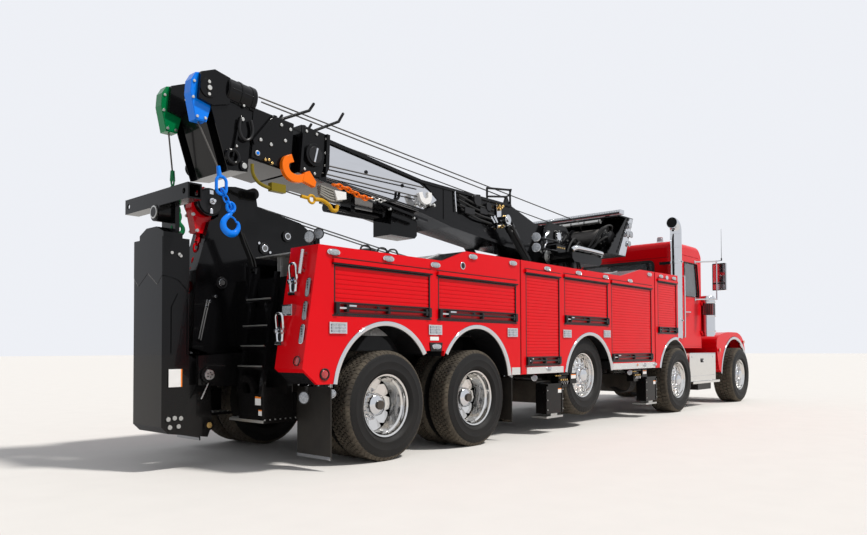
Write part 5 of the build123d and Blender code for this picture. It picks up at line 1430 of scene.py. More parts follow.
def makeUnderliftDetails():
    # Bands, bolts, a roller and marks on the folding arm
    rollerX, rollerZ = -1.36, 0.83
    armY, rear, front = 0.255, -1.75, -1.5
    shape = bmesh.new()
    for side in (-1, 1):
        y = armY * side
        a, b = sorted((y, y + 0.008 * side))
        band = [(rear + 0.002, 1.695), (-1.66, 1.68), (-1.6, 1.66), (front, 1.56), (front, 2.028),
                (rear + 0.002, 2.028)]
        addPrism(shape, band, "y", a, b, 0)
        addPins(shape, ((-1.668, 1.893), (-1.6, 1.885), (-1.585, 1.872)), y, (0.018 * side, 0.014, 1, 10))
        addPins(shape, ((-1.69, 0.455), (-1.632, 0.462), (-1.574, 0.456), (-1.675, 0.385),
                        (-1.595, 0.388)), y, (0.012 * side, 0.02, 1, 12))
        addPins(shape, ((-1.303, 0.376),), y, (0.012 * side, 0.048, 0, 24), (0.02 * side, 0.026, 2, 20))
        for radius, depth, slot in ((0.072, 0.012, 0), (0.046, 0.024, 3)):
            addRod(shape, (rollerX, 0.345 * side, rollerZ), (rollerX, (0.345 + depth) * side, rollerZ),
                   radius, slot, 28)
        for x0, z0, x1, z1 in ((-1.66, 1.42, -1.6, 1.54), (-1.66, 1.42, -1.66, 1.02),
                               (-1.51, 1.0, -1.51, 1.5)):
            addTube(shape, [(x0, y + 0.004 * side, z0), (x1, y + 0.004 * side, z1)], 0, 0, 4,
                    flat=(0.006, 0.006))
    for angle in range(0, 360, 72):
        x, z = rollerX + 0.022 * cos(radians(angle)), rollerZ + 0.022 * sin(radians(angle))
        addRod(shape, (x, -0.369, z), (x, -0.374, z), 0.006, 0, 8)
    addDecal(shape, (-1.69, -armY - 0.009, 0.73), (1, 0, 0), (0, 0, 1), 0.125, 0.155, 0.001, 4, 4)
    addBox(shape, -1.578, -1.565, -armY - 0.0105, -armY - 0.009, 0.73, 0.885, 5)
    addTube(shape, [(-1.43, -0.346, 0.62), (rollerX, -0.346, 0.76)], 0, 3, 4, flat=(0.005, 0.005))
    finishes = ["blackPaint", "zincSteel", "brass", "satinAlloy", "whitePlate", "orangePlate"]
    makePiece("underlift_details", shape, finishes, "underlift_arm", bevel=0.002)


def makeCrossbarPin():
    pinZ = 2.276
    shape = bmesh.new()
    addRod(shape, (-1.603, 0, pinZ), (-1.695, 0, pinZ), 0.07, 0, 36)
    addRod(shape, (-1.69, 0, pinZ), (-1.704, 0, pinZ), 0.058, 1, 36)
    makePiece("crossbar_pin", shape, ["blackPaint", "zincSteel"], "crossbar")


def makeGreenHook():
    shape = bmesh.new()
    addChain(shape, atY(-0.06, [(-1.515, 2.48), (-1.505, 2.34), (-1.5, 2.2)]), 0.055, "greenPaint")
    addHook(shape, (-1.503, -0.06, 2.28), 0.2, (-1, 0, 0))
    makePiece("green_hook", shape, ["greenPaint"], "crossbar")


# The boom, its head, ropes, hooks and the turret's details
boomSettings = {
    "half": 0.27, "collarHalf": 0.33, "tip": (-0.1, 3.04), "pitch": 5.3, "rigY": -0.372,
    "ropes": (((-0.74, 0.245, 3.455), (3.33, 0.245, 3.165)),
              ((0.002, 0.335, 2.964), (1.506, 0.335, 2.989)),
              ((-0.072, 0.335, 2.873), (1.473, 0.335, 2.861))),
    "longRope": ((-0.74, 0.2, 3.515), (5.395, 0.21, 3.113)),
}


def onBoom(a, b):
    # A place in the boom's own lengthwise direction, from the tip point, in metres
    angle = radians(boomSettings["pitch"])
    return (boomSettings["tip"][0] + a * cos(angle) + b * sin(angle),
            boomSettings["tip"][1] - a * sin(angle) + b * cos(angle))


def boomPlaces(*places):
    return [onBoom(a, b) for a, b in places]


def makeBoomSides():
    # Polished side plates between black edge flanges
    flangeX = 1.51
    shape = bmesh.new()
    half = boomSettings["half"]
    addPrism(shape, [(0.03, 3.215), (1.5, 3.045), (1.86, 2.915), (1.55, 2.735), (0.03, 2.865)], "y",
             half - 0.001, half + 0.0025, 0)
    top = [(0.0, 3.27), (flangeX, 3.093), (3.386, 3.074), (3.386, 3.04), (1.53, 3.055), (0.0, 3.228)]
    addPrism(shape, top, "y", half, half + 0.028, 1)
    low = [(0.0, 2.795), (flangeX, 2.69), (2.052, 2.593), (3.131, 2.482), (3.131, 2.52), (2.06, 2.64),
           (1.52, 2.74), (0.0, 2.85)]
    addPrism(shape, low, "y", half, half + 0.032, 1)
    for z in (2.812, 2.832):
        addTube(shape, [(0.02, half + 0.03, z + 0.01), (1.45, half + 0.03, z - 0.115)], 0.006, 2, 6)
    addPrism(shape, [(1.53, 3.084), (1.823, 2.899), (1.6, 2.735), (1.95, 2.62), (2.1, 2.62), (2.1, 3.06)],
             "y", half, half + 0.014, 1)
    addTube(shape, [(2.146, half + 0.022, 3.06), (2.17, half + 0.022, 2.8)], 0.01, 3, 8)
    addTube(shape, [(1.93, half + 0.016, 3.05), (1.93, half + 0.016, 2.65)], 0.008, 1, 6)
    addPins(shape, ((1.2, 2.97), (0.62, 3.02)), half, (0.012, 0.022, 1, 16))
    makePiece("boom_side_plates", shape, ["mirrorSteel", "blackPaint", "castSteel", "chrome"], "boom_base",
              bothSides=True, bevel=0.002)


def makeBaseCollar():
    # The bolted plates round the base stage's end, with ribs and pins
    y = boomSettings["collarHalf"]
    shape = bmesh.new()
    plate = boomPlaces((-0.235, 0.245), (0.105, 0.245), (0.105, 0.02), (0.03, -0.225), (-0.235, -0.225))
    addPrism(shape, plate, "y", y, y + 0.014, 0)
    addPrism(shape, boomPlaces((-0.24, 0.25), (-0.21, 0.25), (-0.21, -0.23), (-0.24, -0.23)), "y", y,
             y + 0.03, 0)
    addPrism(shape, boomPlaces((0.06, 0.25), (0.1, 0.25), (0.12, -0.1), (0.08, -0.2)), "y", y,
             y + 0.04, 0)
    addPins(shape, boomPlaces((-0.19, 0.2), (-0.06, 0.21), (0.07, 0.2), (-0.18, -0.19), (-0.05, -0.2),
                              (0.07, 0.05), (0.08, -0.08)), y, (0.026, 0.016, 1, 8))
    x, z = onBoom(-0.08, -0.02)
    addPins(shape, ((x, z),), y, (0.05, 0.115, 0, 32), (0.056, 0.085, 2, 32))
    addTube(shape, [(x + 0.02, y + 0.058, z + 0.07), (x - 0.02, y + 0.058, z - 0.08)], 0.012, 3, 8)
    makePiece("base_collar_plates", shape, ["blackPaint", "zincSteel", "blackLacquer", "chrome"],
              "boom_base", bothSides=True, bevel=0.003)


def makeStageCollar():
    # The bolted plates round the second stage's end
    y = boomSettings["collarHalf"]
    shape = bmesh.new()
    plate = boomPlaces((-0.56, 0.215), (-0.345, 0.215), (-0.42, -0.255), (-0.8, -0.255),
                                       (-0.8, -0.12))
    addPrism(shape, plate, "y", y, y + 0.016, 0)
    addPrism(shape, boomPlaces((-0.6, 0.225), (-0.56, 0.225), (-0.79, -0.13), (-0.81, -0.09)),
             "y", y, y + 0.035, 0)
    addPins(shape, boomPlaces((-0.5, 0.16), (-0.39, 0.15), (-0.72, -0.06), (-0.6, -0.07), (-0.46, -0.2),
                              (-0.44, 0.02)), y, (0.03, 0.018, 1, 8))
    x, z = onBoom(-0.745, -0.2)
    addPins(shape, ((x, z),), y, (0.034, 0.026, 1, 16), (0.04, 0.016, 3, 16))
    addPins(shape, boomPlaces((-0.62, -0.23), (-0.58, -0.25), (-0.66, -0.24)), y, (0.045, 0.014, 4, 10))
    makePiece("stage_collar_plates", shape, ["blackPaint", "zincSteel", "blackLacquer", "bluePaint",
                                             "brass"], "boom_stage_2", bothSides=True, bevel=0.003)


def makeBoomHead():
    # Ribbed drum housing, pad eyes with shackles and rope pins at the tip
    shape = bmesh.new()
    for side in (-1, 1):
        y = 0.26 * side
        start, end = onBoom(-0.82, 0.3), onBoom(-1.12, 0.3)
        for share in (0.02, 0.1, 0.5, 0.93):
            x = start[0] + (end[0] - start[0]) * share
            z = start[1] + (end[1] - start[1]) * share
            addRod(shape, (x - 0.012, y, z + 0.001), (x + 0.012, y, z - 0.001), 0.136, 0, 36)
        for c, s in circle(8):
            addRod(shape, (start[0] - 0.02, y + 0.118 * c, start[1] + 0.118 * s),
                   (end[0] + 0.02, y + 0.118 * c, end[1] + 0.118 * s), 0.016, 0, 8)
            bolt = y + 0.1 * c, start[1] + 0.1 * s
            addRod(shape, (start[0] + 0.002, *bolt), (start[0] + 0.016, *bolt), 0.012, 1, 8)
    for side in (-1, 1):
        y = 0.361 * side
        px, pz = onBoom(-1.306, 0.225)
        addPins(shape, ((px, pz),), y, (0.01 * side, 0.085, 0, 32), (0.026 * side, 0.022, 1, 16))
        for dz in (-0.055, 0.055):
            addPin(shape, px, y, pz + dz, 0.018 * side, 0.015, 1, 10)
    for side in (-1, 1):
        y = 0.331 * side
        for a, b, radius in ((-0.93, 0.07, 0.03), (-0.93, 0.2, 0.02), (-0.87, -0.36, 0.045),
                             (-0.97, -0.2, 0.02)):
            x, z = onBoom(a, b)
            addPins(shape, ((x, z),), y, (0.018 * side, radius, 0, 20), (0.026 * side, radius * 0.6, 1, 12))
        x, z = onBoom(-0.9, -0.02)
        addSmooth(shape, atY(y + 0.03 * side, [(x - 0.05, z + 0.09), (x - 0.065, z),
                                               (x - 0.04, z - 0.075), (x + 0.01, z - 0.1),
                                               (x + 0.06, z - 0.065), (x + 0.08, z + 0.01),
                                               (x + 0.06, z + 0.1)]), 4, 0.015, 2, 8)
        x, z = onBoom(-1.0, -0.31)
        addRingAround(shape, (x, y + 0.02 * side, z), (0, 1, 0), 0.06, 0.02, 0)
        spoke = onBoom(-1.02, 0.05)
        addTube(shape, [(x, y + 0.012 * side, z), (spoke[0] + 0.06, y + 0.012 * side, spoke[1])], 0, 0, 4,
                flat=(0.018, 0.008))
    makePiece("boom_head_details", shape, ["blackPaint", "zincSteel", "blackLacquer"], "boom_stage_3",
              bevel=0.002)


def makeBlocks():
    # Bolt heads on the two head blocks; the right one is blue and the left one green
    ropeY, blockY = 0.378, 0.26
    px, pz = onBoom(-1.306, 0.225)
    for name, side, finish in (("right", -1, "bluePaint"), ("left", 1, "greenPaint")):
        shape = bmesh.new()
        outline = [(-0.14, 0.06), (-0.1, 0.13), (-0.02, 0.15), (0.06, 0.08), (0.065, -0.1), (0.01, -0.29),
                   (-0.1, -0.29), (-0.15, -0.06)]
        for face in (-1, 1):
            y = blockY * side + 0.052 * face
            a, b = sorted((y, y + 0.004 * face))
            addPrism(shape, [(px + dx * 0.97, pz + dz * 0.97) for dx, dz in outline], "y", a, b, 0)
            for dx, dz in ((-0.115, 0.045), (0.03, 0.075), (0.035, -0.105), (-0.005, -0.262),
                           (-0.085, -0.262), (-0.125, -0.1)):
                x, z = px + dx, pz + dz
                addPin(shape, x, y, z, 0.014 * face, 0.014, 1, 8)
        makePiece("head_block_" + name, shape, [finish, "zincSteel"], "boom_blocks", bevel=0.002)
        shape = bmesh.new()
        low = (px - 0.045, blockY * side, pz - 0.285)
        if side < 0:
            addRod(shape, low, (-1.29, -ropeY, 2.68), 0.008, 0, 8)
            addRod(shape, (-1.29, -ropeY, 2.7), (-1.278, -0.38, 2.6), 0.017, 1, 12, endRadius=0.024)
            addTube(shape, [Vector((-1.262 + a, -0.384, 2.53 + b)) for a,
                            b in roundedRect(0.05, 0.08, 0.048, 6)], 0.015, 1, 10, closed=True)
            chain = [(-1.245, -0.386, 2.47), (-1.215, -0.388, 2.41), (-1.185, -0.39, 2.36)]
            addHook(shape, (-1.17, -0.392, 2.385), 0.3, (1, 0, 0), 1)
        else:
            addRod(shape, low, (-1.32, ropeY, 2.76), 0.008, 0, 8)
            addRod(shape, (-1.32, ropeY, 2.78), (-1.318, 0.38, 2.68), 0.02, 1, 12, endRadius=0.026)
            chain = [(-1.317, 0.381, 2.675), (-1.312, 0.384, 2.6), (-1.308, 0.386, 2.52)]
            addHook(shape, (-1.307, 0.388, 2.54), 0.27, (1, 0, 0), 1)
        addChain(shape, chain, 0.055, finish, 1)
        makePiece("head_hook_" + name, shape, ["ropeSteel", finish], "boom_blocks")


def makeRopeRuns():
    # Taut ropes along the boom and their brackets
    shape = bmesh.new()
    for side in (-1, 1):
        for a, b in boomSettings["ropes"]:
            addRod(shape, (a[0], a[1] * side, a[2]), (b[0], b[1] * side, b[2]), 0.008, 0, 8)
        y = 0.245 * side
        addPrism(shape, [(3.26, 3.07), (3.4, 3.07), (3.345, 3.185), (3.315, 3.185)], "y", y - 0.014,
                 y + 0.014, 1)
    makePiece("rope_runs", shape, ["ropeSteel", "blackPaint"], "boom_base")


def makeLongRopes():
    # Straight ropes that run over the boom's pivot
    for name, side in (("left", 1), ("right", -1)):
        a, b = boomSettings["longRope"]
        a, b = Vector((a[0], a[1] * side, a[2])), Vector((b[0], b[1] * side, b[2]))
        shape = bmesh.new()
        addTube(shape, [a.lerp(b, k / 80) for k in range(81)], 0.008, 0, 8)
        piece = makePiece("long_rope_" + name, shape, ["ropeSteel"], None)
        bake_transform(piece)


def makeOrangeGuard():
    # A hook guard with its foot beside the first collar
    shape = bmesh.new()
    y = boomSettings["rigY"]
    addSmooth(shape, atY(y, [(-0.475, 2.935), (-0.545, 2.9), (-0.56, 2.83), (-0.52, 2.765), (-0.43, 2.74),
                             (-0.33, 2.765), (-0.26, 2.8)]), 5, 0, 0, 4, flat=(0.024, 0.04))
    addPrism(shape, [(-0.33, 2.82), (-0.27, 2.845), (-0.185, 2.75), (-0.2, 2.69), (-0.36, 2.73)], "y",
             y - 0.028, y + 0.028, 0)
    makePiece("orange_guard", shape, ["orangePaint"], "boom_base", bevel=0.004)


def makeYellowHook():
    # A yellow hook on its holder and rope
    y = boomSettings["rigY"]
    shape = bmesh.new()
    addSmooth(shape, atY(y, [(-0.93, 2.79), (-0.92, 2.7), (-0.86, 2.63), (-0.76, 2.6), (-0.69, 2.6)]), 5,
              0.017, 0, 10)
    addBox(shape, -0.73, -0.565, y - 0.03, y + 0.03, 2.57, 2.65, 0)
    addRod(shape, (-0.57, y, 2.6), (-0.34, y, 2.578), 0.008, 2, 8)
    addRod(shape, (-0.36, y, 2.58), (-0.27, y, 2.574), 0.018, 1, 12)
    addRingAround(shape, (-0.225, y, 2.57), (0, 1, 0), 0.04, 0.013, 1)
    addSmooth(shape, atY(y, [(-0.19, 2.575), (-0.09, 2.58), (0.0, 2.545), (0.045, 2.5), (0.1, 2.505),
                             (0.115, 2.56)]), 5, 0.021, 1, 10)
    makePiece("yellow_hook", shape, ["olivePaint", "yellowPaint", "ropeSteel"], "boom_base")


def makeStrapBundle():
    # A folded grey strap with a white pad
    y = boomSettings["rigY"]
    shape = bmesh.new()
    for k in range(5):
        addSmooth(shape, atY(y, [(-0.13, 2.72 - 0.02 * k), (0.02, 2.7 - 0.026 * k),
                                 (0.17, 2.69 - 0.018 * k)]), 5, 0, 0, 4, flat=(0.034 - 0.003 * k, 0.009))
    addPrism(shape, [(0.04, 2.7), (0.2, 2.705), (0.205, 2.63), (0.08, 2.6)], "y", y - 0.045, y - 0.02, 1)
    makePiece("strap_bundle", shape, ["greyWeb", "whitePlate"], "boom_base", bevel=0.003)


def makeOrangeChain():
    y = boomSettings["rigY"]
    shape = bmesh.new()
    addChain(shape, smoothPath(atY(y, [(0.09, 2.765), (0.24, 2.755), (0.36, 2.725), (0.48, 2.7),
                                       (0.57, 2.705)]), 4), 0.06, "orangePaint")
    makePiece("orange_chain", shape, ["orangePaint"], "boom_base")


def makeWhiteGuard():
    # The chain's dark tail, a white guard and pegs
    y = boomSettings["rigY"]
    shape = bmesh.new()
    addChain(shape, atY(y, [(0.58, 2.71), (0.7, 2.705), (0.8, 2.715)]), 0.045, "zincSteel")
    addSmooth(shape, atY(y, [(1.39, 2.905), (1.42, 2.835), (1.49, 2.81), (1.55, 2.85), (1.555, 2.93)]), 5,
              0, 1, 4, flat=(0.022, 0.034))
    for x in (1.5, 1.6, 1.68):
        addRod(shape, (x, -0.29, 2.8), (x, -0.36, 2.8), 0.02, 0, 12)
    makePiece("white_guard", shape, ["zincSteel", "whitePlate"], "boom_base", bevel=0.003)


def makeBoomRails():
    # Bent hooks and rails under the side plates
    shape = bmesh.new()
    for side in (-1, 1):
        y = 0.3 * side
        addTube(shape, smoothPath(atY(y, [(0.9, 2.735), (1.02, 2.76), (1.1, 2.8), (1.12, 2.88)]), 4),
                0.016, 0, 8)
        addTube(shape, atY(y, [(2.85, 3.105), (3.25, 3.165), (3.33, 3.2), (3.37, 3.29)]), 0.014, 0, 8)
        addTube(shape, [(0.447, y, 2.742), (1.586, y, 2.6)], 0, 0, 4, flat=(0.03, 0.014))
        for x in (0.55, 0.95, 1.35):
            addRod(shape, (x, y, 2.7 - (x - 0.55) * 0.12), (x, y + 0.03 * side, 2.7 - (x - 0.55) * 0.12),
                   0.014, 1, 8)
    makePiece("boom_rails", shape, ["blackPaint", "zincSteel"], "boom_base")


def makeHoseReel():
    # Hose bundle, valve panel and fittings between the boom's rear plates
    shape = bmesh.new()
    for side in (-1, 1):
        y = 0.305 * side
        for a, b in (((2.2, 3.02), (2.95, 2.93)), ((2.2, 2.96), (2.98, 2.86)), ((2.22, 2.9), (2.95, 2.8)),
                     ((2.25, 2.85), (2.9, 2.74))):
            addSmooth(shape, [(a[0], y, a[1]), ((a[0] + b[0]) / 2, y + 0.016 * side,
                                                (a[1] + b[1]) / 2 - 0.03), (b[0], y, b[1])], 6, 0.015, 0,
                      8)
        addRod(shape, (2.55, 0.271 * side, 3.0), (2.55, 0.35 * side, 3.0), 0.075, 1, 24)
        addRod(shape, (2.8, 0.271 * side, 2.95), (2.8, 0.345 * side, 2.95), 0.055, 1, 24)
        for a, b, z in ((2.3, 2.5, 2.8), (2.62, 2.78, 2.84)):
            addBox(shape, a, b, *sorted((0.271 * side, 0.335 * side)), z, z + 0.08, 1)
        addPrism(shape, [(3.03, 3.02), (3.14, 3.02), (3.13, 2.72), (3.05, 2.7)], "y",
                 *sorted((0.285 * side, 0.3 * side)), 2)
        for x, z in ((3.05, 3.0), (3.1, 2.985), (3.06, 2.955), (3.13, 3.01), (3.1, 2.72), (3.13, 2.73)):
            addRod(shape, (x, 0.3 * side, z), (x, 0.345 * side, z), 0.018, 3, 10)
        addRod(shape, (2.96, 0.3 * side, 2.86), (2.99, 0.34 * side, 2.76), 0.02, 2, 12)
        addRod(shape, (2.9, 0.3 * side, 2.84), (2.93, 0.34 * side, 2.75), 0.014, 2, 12)
    makePiece("boom_hoses", shape, ["hoseRubber", "blackLacquer", "chrome", "brass"], "boom_base",
              bevel=0.002)


# The turret: bay panels, winches, light bar, hoses and lamps
turretSettings = {
    "bayHalf": 0.85, "panel": ((5.5, 2.532), (5.732, 2.532), (6.008, 3.156), (5.868, 3.156)),
    "bayLamps": ((5.86, 3.03, 0.05), (5.9, 2.89, 0.056), (5.78, 2.89, 0.05), (5.83, 2.735, 0.046)),
    "drum": (5.48, 2.8), "drumR": 0.16, "ropeD": 0.016, "drums": ((0.09, 0.61), (-0.61, -0.09)),
    "pivot": (4.5, 2.75), "cheekFace": 0.361, "lensPitch": 0.215, "lensCount": 8,
    "cheekBolts": ((3.8, 2.0), (3.8, 2.15), (4.02, 2.47), (4.22, 2.76), (4.78, 2.72), (4.95, 2.4),
                   (4.86, 2.05)),
}


def makeBayPanels():
    # Polished side plates with round lamps, inside a dark stepped edge
    t = turretSettings
    shape = bmesh.new()
    y = -t["bayHalf"]
    addPrism(shape, t["panel"], "y", y - 0.005, y + 0.001, 0)
    for x, z, radius in t["bayLamps"]:
        addRoundLamp(shape, (x, y - 0.03, z), (0, -1, 0), radius, 0.026, 1, 2)
    for k in range(9):
        x, z = 5.475 + 0.046 * k, 2.56 + 0.068 * k
        addPrism(shape, [(x - 0.03, z), (x + 0.02, z), (x + 0.045, z + 0.05), (x - 0.005, z + 0.05)], "y",
                 y - 0.01, y, 3)
    for x, z in ((5.52, 2.548), (5.62, 2.548), (5.72, 2.548), (5.9, 3.14), (5.99, 3.14), (5.8, 2.7),
                 (5.88, 2.88)):
        addRod(shape, (x, y - 0.009, z), (x, y - 0.002, z), 0.007, 1, 8)
    makePiece("bay_panels", shape, ["mirrorSteel", "chrome", "clearLens", "blackPaint"], "turret",
              True)


def makeWinchRope():
    # Rope wound on both drums, gear housings and rings of bolts on the flanges
    t = turretSettings
    x, z = t["drum"]
    shape = bmesh.new()
    for low, high in t["drums"]:
        turn = bmesh.new()
        addTube(turn, [(x + t["drumR"] * c, low, z + t["drumR"] * s) for c, s in circle(36)],
                t["ropeD"] / 2, 0, 6, closed=True)
        turns = int((high - low) / t["ropeD"])
        copiesOf(turn, "row", "ropeSteel", 0, (0, 0, 0), shape, Count=turns, Step=(0, t["ropeD"], 0))
    for side in (-1, 1):
        face = 0.641 * side
        addLathe(shape, [(0.001, 0.0), (0.15, 0.0), (0.15, 0.03), (0.12, 0.045), (0.12, 0.11), (0.07, 0.13),
                         (0.001, 0.13)], (x, face, z), (0, side, 0), 32, 1)
        for c, s in circle(12):
            addPin(shape, x + 0.18 * c, face, z + 0.18 * s, 0.012 * side, 0.011, 2, 6)
            addPin(shape, x + 0.134 * c, face + 0.028 * side, z + 0.134 * s, 0.014 * side, 0.008, 2, 6)
        addBox(shape, x - 0.06, x + 0.06, *sorted((face, face + 0.02 * side)), 2.56, 2.66, 1)
    addLathe(shape, [(0.001, -0.055), (0.135, -0.055), (0.135, 0.055), (0.001, 0.055)], (x, 0, z),
             (0, 1, 0), 32, 1)
    makePiece("winch_rope", shape, ["ropeSteel", "blackLacquer", "zincSteel"], "turret")


hoseLines = (
    ((5.48, -0.7, 2.86), (5.36, -0.74, 2.95), (5.2, -0.72, 2.86), (5.12, -0.66, 2.66),
     (5.05, -0.5, 2.45), (4.97, -0.44, 2.2)),
    ((5.52, -0.72, 2.84), (5.42, -0.78, 2.98), (5.18, -0.76, 2.92), (5.06, -0.62, 2.68),
     (4.99, -0.47, 2.42), (4.92, -0.42, 2.15)),
    ((5.44, -0.7, 2.74), (5.3, -0.76, 2.8), (5.17, -0.7, 2.72), (5.09, -0.56, 2.58), (5.0, -0.42, 2.4)),
    ((5.1, -0.4, 2.66), (4.92, -0.42, 2.76), (4.72, -0.44, 2.64), (4.6, -0.43, 2.4), (4.56, -0.4, 2.12)),
    ((5.12, -0.44, 2.62), (4.96, -0.47, 2.7), (4.78, -0.49, 2.58), (4.66, -0.46, 2.36),
     (4.62, -0.41, 2.1)),
    ((4.12, -0.4, 2.08), (4.14, -0.43, 2.2), (4.26, -0.44, 2.27), (4.38, -0.43, 2.22),
     (4.42, -0.4, 2.08)),
    ((4.16, -0.4, 2.05), (4.18, -0.42, 2.15), (4.27, -0.43, 2.2), (4.35, -0.42, 2.16),
     (4.38, -0.4, 2.05)),
)


def makeBayHoses():
    # Hydraulic hoses from the winch motors and valves down to the turntable
    shape = bmesh.new()
    for line in hoseLines:
        addSmooth(shape, line, 6, 0.015, 0, 10)
        a, b = Vector(line[0]), Vector(line[1])
        addRod(shape, a, a + (b - a).normalized() * 0.05, 0.021, 1, 8)
    makePiece("bay_hoses", shape, ["hoseRubber", "zincSteel"], "turret", True)


def makeTurretGear():
    # Pivot caps, cheek bolts, side housings, the chrome grab bar, hose reels and work lamps
    reelX, reelZ, lineY = 4.071, 2.391, -0.385
    t = turretSettings
    px, pz = t["pivot"]
    shape = bmesh.new()
    y = -t["cheekFace"]
    addRod(shape, (px, y + 0.002, pz), (px, y - 0.018, pz), 0.105, 0, 36)
    addRod(shape, (px, y - 0.016, pz), (px, y - 0.03, pz), 0.062, 1, 32)
    for c, s in circle(8):
        addPin(shape, px + 0.083 * c, y - 0.016, pz + 0.083 * s, -0.014, 0.01, 3, 6)
    addBolts(shape, t["cheekBolts"], "y", y, 0.016, -0.012, 3)
    addPrism(shape, [(4.16, 2.3), (4.9, 2.3), (4.962, 2.35), (4.962, 2.44), (4.1, 2.44), (4.1, 2.35)], "y",
             -0.845, -0.36, 0)
    addBox(shape, 4.2, 4.9, -0.8, -0.4, 2.44, 2.452, 4)
    bar = [(4.1, -0.848, 2.462), (4.13, -0.872, 2.486), (4.2, -0.88, 2.492), (4.52, -0.884, 2.49),
           (4.84, -0.88, 2.484), (4.91, -0.872, 2.478), (4.94, -0.848, 2.454)]
    addSmooth(shape, bar, 5, 0.036, 1, 16)
    addLathe(shape, [(0.001, 0.0), (0.098, 0.0), (0.104, 0.008), (0.104, 0.04), (0.03, 0.046),
                     (0.001, 0.046)], (reelX, -0.415, reelZ), (0, -1, 0), 32, 0)
    for radius in (0.026, 0.044, 0.062, 0.08, 0.097):
        addRingAround(shape, (reelX, -0.463, reelZ), (0, 1, 0), radius, 0.004, 3)
    for z in (2.47, 2.615):
        addRoundLamp(shape, (3.6, -0.56, z), (-0.9, -0.4, 0.1), 0.064, 0.055, 1, 2)
        addSmooth(shape, [(4.16, -0.362, z - 0.02), (4.16, -0.54, z - 0.01), (4.1, -0.575, z),
                          (3.64, -0.56, z)], 4, 0.014, 0, 10)
    line = [(4.12, -0.375, 2.5), (4.1, lineY, 2.56), (4.15, lineY, 2.62), (4.11, lineY, 2.69),
            (4.2, lineY, 2.78)]
    addSmooth(shape, line, 6, 0.011, 1, 10)
    for x, z in ((4.12, 2.5), (4.2, 2.78)):
        addRod(shape, (x, -0.362, z), (x, -0.4, z), 0.022, 3, 6)
    addRod(shape, (5.4, -0.6, 3.072), (5.4, 0.0, 3.072), 0.033, 3, 24)
    for y in (-0.59, -0.33, -0.09):
        addPrism(shape, [(5.36, 3.04), (5.44, 3.04), (5.6, 3.15), (5.6, 3.17), (5.52, 3.16), (5.36, 3.09)],
                 "y", y, y + 0.012, 0)
    addRod(shape, (5.404, -0.21, 3.108), (5.5, -0.21, 2.966), 0.008, 6, 8)
    addBox(shape, 4.3, 4.56, -0.46, -0.362, 2.455, 2.6, 0)
    addStuds(shape, [(4.34 + 0.06 * k, -0.46, 2.56) for k in range(4)], (0, -1, 0), "brass", 5,
             Radius=0.014)
    makePiece("turret_gear", shape, ["blackPaint", "chrome", "clearLens", "zincSteel", "satinAlloy",
                                     "brass", "ropeSteel"], "turret", True, bevel=0.002)


def makeLightBar():
    # Clear lamp blocks with reflectors on a red strip and a dark base
    t = turretSettings
    shape = bmesh.new()
    addBox(shape, 5.565, 5.695, -0.858, 0.858, 3.196, 3.216, 0)
    addBox(shape, 5.575, 5.685, -0.85, 0.85, 3.186, 3.197, 1)
    for y in (-0.6, 0.6):
        addBox(shape, 5.605, 5.655, y - 0.028, y + 0.028, 3.1703, 3.187, 0)
    for side in (-1, 1):
        addBox(shape, 5.562, 5.698, *sorted((0.845 * side, 0.86 * side)), 3.19, 3.258, 3)
    outline = [(5.563, 3.217), (5.697, 3.217), (5.697, 3.24), (5.677, 3.259), (5.583, 3.259), (5.563, 3.24)]
    for k in range(t["lensCount"]):
        y = -0.86 + t["lensPitch"] * k
        addPrism(shape, outline, "y", max(y + 0.004, -0.844), min(y + t["lensPitch"] - 0.004, 0.844), 2)
    for k in range(5 * t["lensCount"] - 1):
        y = -0.838 + 0.043 * k
        addBox(shape, 5.561, 5.5625, y, y + 0.03, 3.224, 3.24, 3)
    piece = makePiece("light_bar_lamps", shape, ["blackLacquer", "redLens", "clearLens", "chrome"],
                      "turret", bevel=0.003)
    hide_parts("light_bar")


def makeLiftHoses():
    # Gland rings, ports and a hard line on each lift cylinder
    portHalf, cylinderY = 0.022, -0.43
    foot, head = Vector((3.95, cylinderY, 1.9)), Vector((3.06, cylinderY, 2.8))
    run = (head - foot).normalized()
    length = (head - foot).length
    across = run.cross(Vector((0, 1, 0))).normalized()
    shape = bmesh.new()
    addLathe(shape, [(0.066, -0.09), (0.069, -0.085), (0.069, 0.0), (0.064, 0.004), (0.045, 0.004)],
             foot + run * (length - 0.092), run, 32, 0)
    for share in (0.16, 0.8):
        base = foot + run * length * share - across * 0.058
        addBox(shape, base.x - portHalf, base.x + portHalf, base.y - portHalf, base.y + portHalf,
               base.z - portHalf, base.z + portHalf, 0)
    line = [foot + run * length * s - across * (0.082 if 0.18 < s < 0.79 else 0.066) for s in (0.16, 0.2,
                                                                                               0.5, 0.77,
                                                                                               0.8)]
    addTube(shape, line, 0.009, 1, 8)
    makePiece("lift_cylinder_lines", shape, ["blackPaint", "zincSteel"], "lift_barrels",
              True)


# The deck and the front of the truck
deckSettings = {"top": ((-0.894, 1.95), (0.727, 1.954), (1.112, 2.092), (4.69, 2.102), (5.337, 2.245),
                        (6.73, 2.26))}


